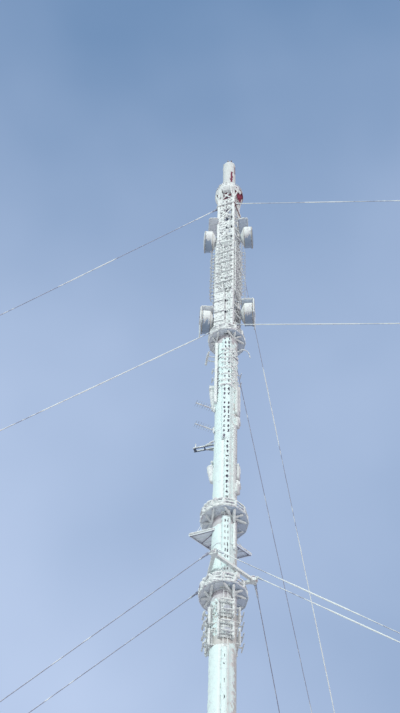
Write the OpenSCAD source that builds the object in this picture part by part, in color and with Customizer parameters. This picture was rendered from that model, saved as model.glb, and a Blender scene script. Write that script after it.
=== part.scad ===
// Guyed radio mast at a scale of 1:10, in millimetres: 100 mm here is 1 m on the real mast.
// Ground is at z = 0 and the mast's axis is Z. Azimuths turn clockwise from +Y, seen from
// above. One guy direction lies at azimuth 0, the others at 120 and 240.

/* [Mast tube] */
// Height of the whole mast above the ground
mast_h = 22430; // [22230:10:22780]
// Outer diameter of the tube
tube_d = 275; // [262:1:280]
// Wall of the tube
tube_wall = 3; // [2:0.5:8]
// Height where the foot cone ends and the tube starts
foot_top_z = 450; // [350:10:700]
// Diameter of the foot cone at its bottom
foot_d = 130; // [100:2:180]
// Thickness of one flange of a tube joint
flange_h = 8; // [4:1:14]
// How far a flange stands out from the tube
flange_out = 9; // [4:1:10]

/* [Lattice] */
// Height of the lattice between the upper deck and the head platform
lattice_h = 4216; // [3900:4:4400]
// Width of the square lattice over its legs
lattice_w = 260; // [250:2:268]
// Width of one square leg
leg_w = 26; // [18:1:32]
// Thickness of the bracing bars
brace_d = 11; // [6:1:16]
// Number of bays in the height of the lattice
bay_count = 14; // [10:1:18]

/* [Head] */
// How far the round head platform stands out from the lattice's faces
head_out = 88; // [84:2:110]
// Height of the mast's tip over the head platform
tip_h = 1190; // [900:10:1500]
// Diameter of the cylinder on top of the mast
cap_d = 185; // [140:5:240]

/* [Decks] */
// How far the upper deck's corners stand out from the tube
upper_deck_out = 107.5; // [100:2.5:120]
// How far the middle deck's corners stand out from the tube
mid_deck_out = 132.5; // [125:2.5:150]
// How far the lower deck's corners stand out from the tube
lower_deck_out = 122.5; // [115:2.5:140]
// Height from the middle deck up to the upper deck
mid_deck_drop = 3734; // [3650:2:4000]
// Height from the lower deck up to the middle deck
lower_deck_drop = 1240; // [1200:10:1500]
// Thickness of a deck plate
deck_t = 14; // [8:1:20]
// Height of the railings
rail_h = 110; // [90:5:130]
// Thickness of the railing posts and bars
rail_bar = 6; // [4:0.5:10]
// Thickness of the fan struts under the decks
strut_d = 14; // [8:1:20]
// Width of the ladder opening in the decks
hatch_w = 105; // [90:5:120]
// Depth of the ladder opening in the decks
hatch_depth = 62; // [50:2:80]

/* [Rear platform] */
// Height from the rear platform up to the middle deck
rear_drop = 235; // [200:5:300]
// How far the rear platform reaches past the back of the tube
rear_far = 268; // [200:4:320]
// How far the rear platform stands out from the tube's side
rear_out = 157.5; // [120:2.5:180]
// Thickness of the rear platform's plate
rear_t = 8; // [5:1:12]

/* [Torsion frame] */
// Height of the torsion frame's middle over the lower deck
torsion_rise = 340; // [300:5:420]
// Gap between the torsion frame's beams and the tube
torsion_gap = 8.5; // [6:0.5:20]
// Width and height of its beams
torsion_beam = 34; // [24:1:36]

/* [Drum aerials] */
// Diameter of the drum aerials
drum_d = 310; // [260:5:330]
// Depth of a drum's shroud
drum_depth = 125; // [100:5:140]
// Distance of a drum's shroud from the lattice
drum_gap = 102.5; // [97.5:2.5:115]
// Thickness of the ice shields over the drums
shield_t = 6; // [4:0.5:10]

/* [Aerials on the lattice] */
// Width of a dipole screen
screen_w = 268; // [240:2:276]
// Distance of the screens from the lattice
screen_gap = 16; // [10:1:24]
// Height of one tier of a screen
tier_h = 281; // [260:1:284]
// Number of tiers
tier_count = 5; // [3:1:5]
// Length of a dipole on the screens
dipole_len = 86; // [60:2:110]
// Distance of the dipoles from their screen
dipole_out = 90; // [60:5:120]

/* [Aerials on the tube] */
// Length of a dipole on the lower aerial
fm_len = 140; // [100:5:180]
// Distance of the lower dipoles from the tube
fm_out = 68.5; // [50:0.5:110]
// Height between the lower dipoles
fm_pitch = 150; // [130:5:190]
// Length of a comb aerial's boom
yagi_boom = 250; // [180:10:300]
// Length of the cross rods on a comb aerial
yagi_rod = 100; // [60:5:140]
// How far the side outrigger reaches from the tube
outrigger_len = 265; // [200:5:300]

/* [Ladder and duct] */
// Azimuth of the ladder
ladder_az = 153; // [150:1:156]
// Distance between the ladder's stiles
ladder_w = 45; // [36:1:50]
// Distance of the stiles' middle from the tube
ladder_gap = 20; // [16:1:24]
// Height between two ladder rungs
rung_pitch = 56; // [30:1:80]
// Diameter of the cable duct
duct_d = 30; // [20:1:40]

/* [Guys] */
// Height from the first guys up to the head platform
guy_top_drop = 480; // [420:10:540]
// Height of the second guys over the upper deck
guy_upper_rise = 236; // [200:4:300]
// Diameter of a guy rope
rope_d = 9; // [4:0.5:14]
// Diameter of the pins that hold the ropes
pin_d = 12; // [8:1:16]
// Height of the fourth guys
guy_lower_z = 8300; // [8000:50:8350]
// Height of the fifth guys
guy_bottom_z = 4100; // [3600:50:4200]
// Distance of the outer anchors from the mast
outer_r = 14600; // [13000:50:15600]
// Distance of the inner anchors from the mast
inner_r = 9540; // [8600:20:10400]

/* [Footings] */
// Height of the concrete base and anchor blocks
block_h = 120; // [80:5:200]
// Side of the square base block
base_w = 600; // [500:10:800]
// Length of an anchor block towards the mast
anchor_len = 500; // [440:10:700]
// Width of an anchor block
anchor_w = 360; // [320:10:500]

/* [Hidden] */
$fn = 48;
tube_r = tube_d / 2;
fit_gap = 0.5;
fold = 120;
guy_azimuths = [0, fold, 2 * fold];
torsion_azimuths = [60, 60 + fold, 60 + 2 * fold];
over = 2;

// Heights, down from the mast's tip
head_z = mast_h - tip_h;
upper_deck_z = head_z - lattice_h;
tube_top_z = upper_deck_z - deck_t;
mid_deck_z = upper_deck_z - mid_deck_drop;
rear_z = mid_deck_z - rear_drop;
lower_deck_z = mid_deck_z - lower_deck_drop;
torsion_z = lower_deck_z + torsion_rise;
guy_top_z = head_z - guy_top_drop;
guy_upper_z = upper_deck_z + guy_upper_rise;

// Heights of the joints between the tube sections
joint_above_guy = 200;
joint_1_z = guy_bottom_z + joint_above_guy;
joint_2_z = guy_lower_z + joint_above_guy;
joint_3_z = torsion_z + 2 * joint_above_guy;

// Foot bearing
bearing_plate_h = 10;
bearing_w = 220;
socket_d = 150;
socket_h = 30;
ball_d = 90;
ball_flat = 4;
foot_z = block_h + bearing_plate_h + socket_h + ball_d / 4 - ball_flat;

// Lattice
leg_c = (lattice_w - leg_w) / 2;
lattice_top_z = head_z - deck_t;
bay_h = (lattice_top_z - upper_deck_z) / bay_count;
frame_w = 12;
frame_h = 24;

// Head
head_d = lattice_w + 2 * head_out;
lamp_h = 110;

// Decks
upper_deck_w = tube_d + 2 * upper_deck_out;
mid_deck_w = tube_d + 2 * mid_deck_out;
lower_deck_w = tube_d + 2 * lower_deck_out;
deck_sides = 12;
deck_turn = 12;
hatch_az = ladder_az + 5;
toe_h = 12;
rim_in = 4;
strut_drop = 45;
struts_per_bracket = 4;
strut_reach = 0.9;

// Rear platform
rear_az = 30;
rear_past = 20.5;
rear_near = tube_r + rear_past;
rear_len = rear_near + tube_r + rear_far;
rear_w = tube_r + rear_out;
rib_h = 10;
rib_w = 8;
rib_count = 5;
stay_d = 6;

// Guy fittings
torsion_r = 2 * (tube_r + torsion_gap) + torsion_beam;
lug_t = 10;
lug_eye = 14;
cheek_t = 5;
cheek_gap = 1;
cheek_w = 22;
fork_len = 46;
bridge_t = 14;
sleeve_d = 20;
sleeve_len = 90;
guy_lug_r = tube_r + 40.5;
guy_lug_len = 50;
ring_lug_r = lattice_w / 2 + 60;
ring_lug_len = 60;
torsion_pin_out = 62;
torsion_lug_len = 40;
anchor_pin_h = 70;
anchor_step = 70;
anchor_side = 80;

// Drum aerials: azimuth, height over the upper deck, shield height over the drum's middle
drum_r = lattice_w / 2 + drum_gap + drum_depth / 2;
drums = [[249, 2746, 470], [75, 2876, 335], [247, 476, 172], [75, 686, 172]];

// Tiers of the dipole screens
screen_r = lattice_w / 2 + screen_gap;
screens_top_z = upper_deck_z + 2496;
screen_post = 6;
tier_gap = 12;
screen_bar = 5;
screen_bars = 10;
dipole_x = 68;
dipole_rows = 3;

// Lower aerial on the tube: azimuth of each column, and how much lower than the first it sits
fm_columns = [[60, 0], [150, 0], [240, 70], [330, 70]];
fm_r = tube_r + fm_out;
fm_top_z = lower_deck_z - 325;
fm_bays = 2;
fm_bay_gap = 10;
fm_arm_x = 80;

// Point at a distance and azimuth from the mast's axis
function polar(r, az, z = 0) = [r * sin(az), r * cos(az), z];

// Azimuth of the way from one point to another
function heading(p, q) = atan2(q.x - p.x, q.y - p.y);

// Turns the children so that their +Y points along an azimuth
module at_azimuth(az) rotate([0, 0, -az]) children();

// Straight bar with a few flat sides between two points
module bar(p, q, d, sides = 6) {
    way = q - p;
    run = norm(way);
    translate(p)
        rotate([0, acos(way.z / run), atan2(way.y, way.x)])
            rotate([0, 0, 180 / sides]) cylinder(h = run, d = d, $fn = sides);
}

// Solid that fills the tube's outline over a height, for cutting pieces flush with it
module tube_core(z0, z1) translate([0, 0, z0]) cylinder(h = z1 - z0, d = tube_d);

// One section of the tube with a flange at its bottom and top
module tube_section(z0, z1) {
    difference() {
        union() {
            translate([0, 0, z0]) cylinder(h = z1 - z0, d = tube_d);
            translate([0, 0, z0]) cylinder(h = flange_h, d = tube_d + 2 * flange_out);
            translate([0, 0, z1 - flange_h])
                cylinder(h = flange_h, d = tube_d + 2 * flange_out);
        }
        translate([0, 0, z0 - over])
            cylinder(h = z1 - z0 + 2 * over, d = tube_d - 2 * tube_wall);
    }
}

// Concrete block under the mast's foot
module base_block() {
    step = 60;
    color("gray") union() {
        translate([-base_w / 2, -base_w / 2, 0]) cube([base_w, base_w, block_h / 2]);
        translate([-base_w / 2 + step, -base_w / 2 + step, 0])
            cube([base_w - 2 * step, base_w - 2 * step, block_h]);
    }
}

// Bottom plate, socket and ball that the mast stands on
module base_bearing() {
    ball_z = block_h + bearing_plate_h + socket_h;
    color("dimgray") difference() {
        union() {
            translate([-bearing_w / 2, -bearing_w / 2, block_h])
                cube([bearing_w, bearing_w, bearing_plate_h]);
            translate([0, 0, block_h + bearing_plate_h]) cylinder(h = socket_h, d = socket_d);
            translate([0, 0, ball_z - ball_d / 4]) sphere(d = ball_d);
        }
        translate([0, 0, foot_z]) cylinder(h = ball_d, d = ball_d);
    }
}

// Cone between the bearing and the tube
module shaft_foot() {
    cap_t = 14;
    color("whitesmoke") difference() {
        union() {
            translate([0, 0, foot_z]) cylinder(h = cap_t, d = foot_d + 2 * flange_out);
            translate([0, 0, foot_z]) cylinder(h = foot_top_z - foot_z, d1 = foot_d, d2 = tube_d);
            translate([0, 0, foot_top_z - flange_h])
                cylinder(h = flange_h, d = tube_d + 2 * flange_out);
        }
        translate([0, 0, foot_z + cap_t])
            cylinder(
                h = foot_top_z - foot_z - cap_t + over,
                d1 = foot_d - 2 * tube_wall,
                d2 = tube_d - 2 * tube_wall
            );
    }
}

module shaft_bottom() color("whitesmoke") tube_section(foot_top_z, joint_1_z);
module shaft_lower() color("whitesmoke") tube_section(joint_1_z, joint_2_z);
module shaft_middle() color("whitesmoke") tube_section(joint_2_z, joint_3_z);
module shaft_upper() color("whitesmoke") tube_section(joint_3_z, tube_top_z);

// Ladder up the front of the tube, with brackets to the tube
module access_ladder() {
    stile = 5;
    rung_d = 4;
    bracket_step = 12;
    start_z = foot_top_z + rung_pitch;
    end_z = tube_top_z - rung_pitch;
    rungs = floor((end_z - start_z) / rung_pitch);
    stile_r = tube_r + ladder_gap;
    color("whitesmoke") difference() {
        at_azimuth(ladder_az) {
            for (x = [-ladder_w / 2, ladder_w / 2])
                translate([x - stile / 2, stile_r - stile / 2, start_z])
                    cube([stile, stile, end_z - start_z]);
            for (i = [1 : bracket_step : rungs], x = [-ladder_w / 2, ladder_w / 2])
                translate([x - stile / 2, tube_r - 2 * stile, start_z + i * rung_pitch])
                    cube([stile, ladder_gap + 2 * stile, stile]);
            for (i = [1 : 2 : rungs])
                translate([-ladder_w / 2, stile_r - rung_d / 2, start_z + i * rung_pitch])
                    cube([ladder_w, rung_d, rung_d]);
        }
        tube_core(start_z - over, end_z + over);
    }
}

// Cable duct on clips along the upper tube
module cable_duct() {
    duct_az = 216;
    duct_len = 1360;
    duct_gap = 8;
    clip_h = 10;
    clip_count = 5;
    clip_margin = 60;
    below_deck = 150;
    duct_z1 = tube_top_z - below_deck;
    duct_z0 = duct_z1 - duct_len;
    clip_run = duct_z1 - duct_z0 - 2 * clip_margin;
    color("whitesmoke") difference() {
        at_azimuth(duct_az) {
            translate([0, tube_r + duct_gap + duct_d / 2, duct_z0])
                cylinder(h = duct_z1 - duct_z0, d = duct_d);
            for (i = [0 : clip_count - 1])
                translate([
                    -duct_d / 4,
                    tube_r - duct_gap,
                    duct_z0 + clip_margin + i * clip_run / (clip_count - 1)
                ])
                    cube([duct_d / 2, duct_d + duct_gap, clip_h]);
        }
        tube_core(duct_z0 - over, duct_z1 + over);
    }
}

// One leg of the lattice
module lattice_leg() {
    translate([leg_c - leg_w / 2, leg_c - leg_w / 2, upper_deck_z])
        cube([leg_w, leg_w, lattice_top_z - upper_deck_z]);
}

// The four legs of the lattice
module lattice_legs() {
    color("whitesmoke") for (k = [0 : 3]) at_azimuth(90 * k) lattice_leg();
}

// Bars of one face of the lattice, the one towards +Y, between its two legs
module lattice_face() {
    reach = leg_c - leg_w / 2;
    strip = 6;
    for (x = [-reach, reach - strip])
        translate([x, leg_c - brace_d / 2, upper_deck_z])
            cube([strip, brace_d, lattice_top_z - upper_deck_z]);
    for (i = [0 : bay_count - 1]) {
        z0 = upper_deck_z + brace_d / 2 + i * bay_h;
        z1 = min(z0 + bay_h, lattice_top_z - brace_d / 2);
        translate([-reach, leg_c - brace_d / 2, z1 - brace_d / 2])
            cube([2 * reach, brace_d, brace_d]);
        intersection() {
            union() {
                bar([-leg_c, leg_c, z0], [leg_c, leg_c, z1], brace_d, 4);
                bar([leg_c, leg_c, z0], [-leg_c, leg_c, z1], brace_d, 4);
            }
            translate([-reach, leg_c - brace_d, upper_deck_z])
                cube([2 * reach, 2 * brace_d, lattice_top_z - upper_deck_z]);
        }
    }
}

module lattice_front() color("whitesmoke") at_azimuth(180) lattice_face();
module lattice_back() color("whitesmoke") at_azimuth(0) lattice_face();
module lattice_left() color("whitesmoke") at_azimuth(270) lattice_face();
module lattice_right() color("whitesmoke") at_azimuth(90) lattice_face();

// Round platform on the lattice, with its knee braces down to the legs
module head_platform() {
    rim_h = 26;
    knee_drop = 330;
    knee_z = head_z - knee_drop;
    knee_in = 14;
    knee_r = head_d / 2 - knee_in;
    knee_spread = 20;
    knee_d = 13;
    hatch = 70;
    hatch_gap = 20;
    color("darkred") difference() {
        union() {
            translate([0, 0, lattice_top_z]) cylinder(h = deck_t, d = head_d);
            difference() {
                translate([0, 0, head_z - rim_h]) cylinder(h = rim_h, d = head_d);
                translate([0, 0, head_z - rim_h - over])
                    cylinder(h = rim_h + 2 * over, d = head_d - 2 * rim_in);
            }
            for (k = [0 : 3], side = [-1, 1])
                bar(
                    polar(leg_c * sqrt(2), 45 + 90 * k, knee_z),
                    polar(knee_r, 45 + 90 * k + side * knee_spread, lattice_top_z + over),
                    knee_d
                );
        }
        for (k = [0 : 3]) at_azimuth(90 * k) lattice_leg();
        translate([cap_d / 2 + hatch_gap, -hatch / 2, lattice_top_z - over])
            cube([hatch, hatch, deck_t + 2 * over]);
    }
}

// Round railing on the head platform
module head_rail() {
    posts = 12;
    rail_r = head_d / 2 - rail_bar;
    color("whitesmoke") union() {
        for (h = [0, rail_h / 2, rail_h - rail_bar])
            translate([0, 0, head_z + h]) difference() {
                cylinder(h = rail_bar, r = rail_r);
                translate([0, 0, -over]) cylinder(h = rail_bar + 2 * over, r = rail_r - rail_bar);
            }
        for (k = [0 : posts - 1])
            at_azimuth(360 / posts * k)
                translate([-rail_bar / 2, rail_r - rail_bar, head_z])
                    cube([rail_bar, rail_bar - fit_gap / 2, rail_h - rail_bar]);
    }
}

// Cylinder that covers the top aerial, on its flange
module head_cylinder() {
    flange = 14;
    lid_h = 16;
    lid_share = 0.9;
    top_z = mast_h - lamp_h;
    color("whitesmoke") union() {
        translate([0, 0, head_z]) cylinder(h = flange, d = cap_d + 2 * flange);
        translate([0, 0, head_z]) cylinder(h = top_z - lid_h - head_z, d = cap_d);
        translate([0, 0, top_z - lid_h]) cylinder(h = lid_h, d1 = cap_d, d2 = lid_share * cap_d);
    }
}

// Two warning lamps on stems at the front of the cylinder's lid
module head_lamps() {
    lamp_d = 20;
    stem_d = 8;
    stem_share = 0.6;
    lamp_r = 0.36 * cap_d;
    for (az = [138, 183]) translate(polar(lamp_r, az, mast_h - lamp_h)) {
        color("dimgray") cylinder(h = stem_share * lamp_h, d = stem_d);
        color("darkred") translate([0, 0, stem_share * lamp_h])
            cylinder(h = (1 - stem_share) * lamp_h, d = lamp_d);
    }
}

// Plate of a deck with twelve corners, bored for the tube and open at the ladder
module deck_plate(z, across, bore) {
    rim_h = 22;
    color("silver") difference() {
        at_azimuth(deck_turn) rotate([0, 0, 90]) union() {
            translate([0, 0, z - deck_t]) cylinder(h = deck_t, d = across, $fn = deck_sides);
            difference() {
                translate([0, 0, z - rim_h]) cylinder(h = rim_h, d = across, $fn = deck_sides);
                translate([0, 0, z - rim_h - over])
                    cylinder(h = rim_h + 2 * over, d = across - 3 * rim_in, $fn = deck_sides);
            }
        }
        if (bore > 0)
            translate([0, 0, z - rim_h - over]) cylinder(h = rim_h + 2 * over, d = bore);
        at_azimuth(hatch_az)
            translate([-hatch_w / 2, tube_r - over, z - rim_h - over])
                cube([hatch_w, hatch_depth, rim_h + 2 * over]);
    }
}

// Railing with twelve posts and three bars around a deck
module deck_railing(z, across) {
    rail_r = across / 2 - 2 * rim_in;
    post_r = rail_r - 1.3 * rail_bar;
    color("whitesmoke") union() {
        at_azimuth(deck_turn) rotate([0, 0, 90])
            for (h = [0, rail_h / 2, rail_h - rail_bar]) translate([0, 0, z + h]) difference() {
                cylinder(h = h == 0 ? toe_h : rail_bar, r = rail_r, $fn = deck_sides);
                translate([0, 0, -over])
                    cylinder(h = toe_h + 2 * over, r = rail_r - rail_bar, $fn = deck_sides);
            }
        for (k = [0 : deck_sides - 1])
            at_azimuth(deck_turn + 360 / deck_sides * k)
                translate([-rail_bar / 2, post_r, z])
                    cube([rail_bar, rail_bar, rail_h]);
    }
}

// Fans of struts from three tube brackets to the corners of a deck
module deck_struts(z, across) {
    bottom_z = z - deck_t;
    bracket_z = bottom_z - strut_drop;
    gusset_w = 60;
    gusset_t = 10;
    gusset_out = 18;
    gusset_in = 14;
    corner_step = 360 / deck_sides;
    color("whitesmoke") difference() {
        for (az = guy_azimuths) {
            first = floor((az - deck_turn) / corner_step) - 1;
            for (k = [0 : struts_per_bracket - 1])
                bar(
                    polar(tube_r, az, bracket_z),
                    polar(strut_reach * across / 2, deck_turn + (first + k) * corner_step,
                        bottom_z - strut_d / 3),
                    strut_d
                );
            at_azimuth(az)
                translate([-gusset_w / 2, tube_r - gusset_in, bracket_z - gusset_t / 2])
                    cube([gusset_w, gusset_in + gusset_out, gusset_t]);
        }
        tube_core(bracket_z - 4 * strut_d, z);
        translate([0, 0, bottom_z]) cylinder(h = strut_d, d = across);
    }
}

module upper_deck() deck_plate(upper_deck_z, upper_deck_w, 0);
module upper_deck_rail() deck_railing(upper_deck_z, upper_deck_w);
module upper_deck_struts() deck_struts(upper_deck_z, upper_deck_w);
module mid_deck() deck_plate(mid_deck_z, mid_deck_w, tube_d);
module mid_deck_rail() deck_railing(mid_deck_z, mid_deck_w);
module mid_deck_struts() deck_struts(mid_deck_z, mid_deck_w);
module lower_deck() deck_plate(lower_deck_z, lower_deck_w, tube_d);
module lower_deck_rail() deck_railing(lower_deck_z, lower_deck_w);
module lower_deck_struts() deck_struts(lower_deck_z, lower_deck_w);

// Corners of the rear platform, moved in from its edges
function rear_corners(inset) =
    let(
        along = inset / cos(rear_az),
        near = along - rear_near,
        far = rear_len - rear_near - along,
        left = along - rear_w
    )
    [
        [near * sin(rear_az) - along, near * cos(rear_az)],
        [far * sin(rear_az) - along, far * cos(rear_az)],
        [far * sin(rear_az) + left, far * cos(rear_az)],
        [near * sin(rear_az) + left, near * cos(rear_az)]
    ];

// Slanted platform behind the mast, with an edge frame, ribs and stays up to the middle deck
module rear_platform() {
    edge_w = 10;
    edge_h = 20;
    stay_feet = [[0.06, 0.66], [0.06, 0.88], [0.94, 0.12], [0.94, 0.88]];
    stay_reach = 0.92;
    corner_step = 360 / deck_sides;
    color("silver") difference() {
        union() {
            translate([0, 0, rear_z - rear_t])
                linear_extrude(height = rear_t) polygon(rear_corners(0));
            translate([0, 0, rear_z - edge_h]) linear_extrude(height = edge_h) difference() {
                polygon(rear_corners(0));
                polygon(rear_corners(edge_w));
            }
            for (i = [1 : rib_count]) {
                run = i * rear_len / (rib_count + 1) - rear_near;
                translate([
                    run * sin(rear_az) - rear_w + edge_w / 2,
                    run * cos(rear_az) - rib_w / 2,
                    rear_z - rear_t - rib_h
                ])
                    cube([rear_w - edge_w, rib_w, rib_h + rear_t / 2]);
            }
            for (at = stay_feet) {
                run = at[0] * rear_len - rear_near;
                foot = [
                    run * sin(rear_az) - at[1] * rear_w,
                    run * cos(rear_az),
                    rear_z - rear_t / 2
                ];
                corner = round((heading([0, 0], foot) - deck_turn) / corner_step);
                bar(
                    foot,
                    polar(
                        stay_reach * mid_deck_w / 2,
                        deck_turn + corner_step * corner,
                        mid_deck_z - deck_t + over
                    ),
                    stay_d
                );
            }
        }
        tube_core(rear_z - 2 * edge_h, mid_deck_z);
        translate([0, 0, mid_deck_z - deck_t]) cylinder(h = deck_t, d = mid_deck_w);
    }
}

// Triangle of beams around the tube that keeps the mast from turning
module torsion_frame() {
    pad_w = 70;
    pad_in = 12;
    tip_w = 64;
    tip_t = 46;
    half = torsion_beam / 2;
    color("whitesmoke") difference() {
        union() {
            for (az = torsion_azimuths) {
                bar(
                    polar(torsion_r, az, torsion_z),
                    polar(torsion_r, az + fold, torsion_z),
                    torsion_beam * sqrt(2),
                    4
                );
                at_azimuth(az)
                    translate([-tip_w / 2, torsion_r - tip_w / 2, torsion_z - tip_t / 2])
                        cube([tip_w, tip_w, tip_t]);
                at_azimuth(az + fold / 2)
                    translate([-pad_w / 2, tube_r - pad_in, torsion_z - half])
                        cube([pad_w, torsion_r / 2 - tube_r + pad_in, torsion_beam]);
                for (side = [-1, 1]) torsion_lug(az, side);
            }
        }
        tube_core(torsion_z - tip_t, torsion_z + tip_t);
    }
}

// Side of the upper tip lug that a rope of the torsion frame hangs on
function torsion_pin(az, side) =
    let(
        tip = polar(torsion_r, az, torsion_z),
        far = anchor_pin(inner_r, az + side * fold / 2, 0, -side * anchor_side),
        way = heading(tip, far)
    )
    tip + polar(torsion_pin_out, way);

// Lug at a tip of the torsion frame
module torsion_lug(az, side) {
    tip = polar(torsion_r, az, torsion_z);
    pin = torsion_pin(az, side);
    lug(pin, heading(tip, pin), torsion_lug_len);
}

// Drum aerial with its pole and its arms to two legs of the lattice
module drum(az, z) {
    right = az < 180 ? 1 : -1;
    back_len = 46;
    back_d = 110;
    pole_gap = 10;
    pole_r = drum_r - drum_depth / 2 - back_len - pole_gap;
    pole_d = 20;
    pole_h = 240;
    hub_d = 70;
    hub_len = 24;
    arm_d = 14;
    rim_t = 10;
    pole_top = z + pole_h / 2;
    color("whitesmoke") difference() {
        union() {
            translate(polar(drum_r, az, z)) at_azimuth(az) rotate([90, 0, 0])
                cylinder(h = drum_depth, d = drum_d, center = true);
            translate(polar(drum_r - drum_depth / 2 + over, az, z)) at_azimuth(az)
                rotate([90, 0, 0])
                    cylinder(h = back_len + over, d1 = drum_d - rim_t, d2 = back_d);
            translate(polar(drum_r + drum_depth / 2 - rim_t, az, z)) at_azimuth(az)
                rotate([90, 0, 0]) cylinder(h = rim_t, d = drum_d + rim_t, center = true);
            translate(polar(pole_r, az, z)) at_azimuth(az) rotate([-90, 0, 0])
                cylinder(h = hub_len, d = hub_d);
            translate(polar(pole_r, az, z - pole_h / 2)) cylinder(h = pole_h, d = pole_d);
            for (h = [z - pole_h / 2 + arm_d, pole_top - arm_d], side = [-1, 1])
                bar(
                    polar(pole_r, az, h),
                    [right * leg_c, side * leg_c, h],
                    arm_d
                );
        }
        for (k = [0 : 3]) at_azimuth(90 * k) lattice_leg();
    }
}

module drum_aerials() for (d = drums) drum(d[0], upper_deck_z + d[1]);

// Plates that keep falling ice off the drums, on arms from the lattice. The lower two have a
// frame that comes down in front of the drum.
module ice_shields() {
    shield_len = drum_d - 10;
    front_gap = 14;
    front_r = drum_r + drum_depth / 2 + front_gap;
    upper_in = 80;
    post_w = 8;
    post_h = drum_d + 36;
    arm_d = 12;
    arm_spread = 14;
    for (d = drums) {
        az = d[0];
        z = upper_deck_z + d[1] + d[2];
        right = az < 180 ? 1 : -1;
        framed = upper_deck_z + d[1] < screens_top_z;
        outer_r = framed ? front_r : front_r - upper_in;
        shield_w = framed ? 170 : 135;
        color("silver") difference() {
            union() {
                at_azimuth(az) {
                    translate([-shield_len / 2, outer_r - shield_w, z])
                        cube([shield_len, shield_w, shield_t]);
                    if (framed) {
                        for (x = [-shield_len / 2, shield_len / 2 - post_w])
                            translate([x, outer_r - post_w, z - post_h])
                                cube([post_w, post_w, post_h + shield_t]);
                        translate([-shield_len / 2, outer_r - post_w, z - post_h])
                            cube([shield_len, post_w, post_w]);
                    }
                }
                for (side = [-1, 1])
                    bar(
                        polar(outer_r - shield_w / 2, az + side * arm_spread, z),
                        [right * leg_c, -side * right * leg_c, z],
                        arm_d
                    );
            }
            for (k = [0 : 3]) at_azimuth(90 * k) lattice_leg();
        }
    }
}

// Dipole screen of one lattice face, the one towards +Y
module dipole_screen(covered = false) {
    stub = 14;
    edge_x = screen_w / 2 - screen_post / 2;
    bottom = screens_top_z - tier_count * tier_h + tier_gap - screen_bar;
    for (t = [0 : tier_count - 1]) {
        top = screens_top_z - t * tier_h;
        for (i = [0 : screen_bars - 1])
            translate([
                -screen_w / 2,
                screen_r,
                top - screen_bar - i * (tier_h - tier_gap) / (screen_bars - 1)
            ])
                cube([screen_w, screen_bar, screen_bar]);
        for (x = [-dipole_x, dipole_x], row = [1 : dipole_rows]) {
            z = top - (row - 0.5) * tier_h / dipole_rows;
            translate([x - screen_bar / 2, screen_r, z])
                cube([screen_bar, dipole_out, screen_bar]);
            translate([x - dipole_len / 2, screen_r + dipole_out - screen_bar, z])
                cube([dipole_len, screen_bar, screen_bar]);
        }
    }
    for (x = [-edge_x, -leg_c, -dipole_x, dipole_x, leg_c, edge_x])
        translate([x - screen_post / 2, screen_r, bottom])
            cube([screen_post, screen_bar, screens_top_z - bottom]);
    for (t = [0 : tier_count - 1], x = [-leg_c, leg_c])
        translate([x - stub / 2, lattice_w / 2, screens_top_z - (t + 0.5) * tier_h])
            cube([stub, screen_r - lattice_w / 2 + screen_bar, stub]);
    if (covered) cover_panels(bottom);
}

// Plain cover panels in two rows under a dipole screen, on two posts from it. A gap between
// the wide and the narrow ones leaves room for the ladder.
module cover_panels(top) {
    cover_t = 24;
    cover_gap = 16;
    wide = screen_w / 2 + 10;
    narrow = 38;
    cover_h = (top - upper_deck_z) / 2 - 2 * cover_gap;
    for (row = [0, 1]) {
        z = upper_deck_z + 1.5 * cover_gap + row * (cover_h + cover_gap);
        translate([screen_w / 2 - wide, screen_r, z]) cube([wide, cover_t, cover_h]);
        translate([-screen_w / 2, screen_r, z]) cube([narrow, cover_t, cover_h]);
    }
    for (x = [-leg_c, leg_c])
        translate([x - screen_post / 2, screen_r, upper_deck_z + 2 * cover_gap])
            cube([screen_post, screen_bar, top - upper_deck_z - 2 * cover_gap + over]);
}

module panels_front() color("whitesmoke") at_azimuth(180) dipole_screen(true);
module panels_back() color("whitesmoke") at_azimuth(0) dipole_screen(true);
module panels_left() color("whitesmoke") at_azimuth(270) dipole_screen();
module panels_right() color("whitesmoke") at_azimuth(90) dipole_screen();

// Lower aerial: four columns of dipoles on stubs from pairs of poles beside the tube
module fm_dipoles() {
    pole_gap = 22;
    pole_r = tube_r + pole_gap;
    pole_d = 14;
    pole_len = fm_pitch + 100;
    arm_d = 12;
    arm_in = 70;
    arm_inset = 20;
    stub_d = 16;
    rod_d = 9;
    for (column = fm_columns, bay = [0 : fm_bays - 1]) {
        mid_z = fm_top_z - column[1] - bay * (2 * fm_pitch + fm_bay_gap);
        low_z = mid_z - pole_len / 2;
        high_z = mid_z + pole_len / 2;
        color("whitesmoke") difference() {
            at_azimuth(column[0]) {
                for (x = [-fm_arm_x, fm_arm_x]) {
                    translate([x, pole_r, low_z]) cylinder(h = pole_len, d = pole_d);
                    for (z = [low_z + arm_inset, high_z - arm_inset])
                        bar([x, tube_r - arm_in, z], [x, pole_r, z], arm_d);
                }
                for (z = [mid_z - fm_pitch / 2, mid_z + fm_pitch / 2]) {
                    bar([-fm_arm_x, pole_r, z], [fm_arm_x, pole_r, z], rod_d);
                    bar([0, tube_r, z], [0, fm_r, z], stub_d);
                    bar([-fm_len / 2, fm_r, z], [fm_len / 2, fm_r, z], rod_d);
                }
            }
            tube_core(low_z - over, high_z + over);
        }
    }
}

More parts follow.
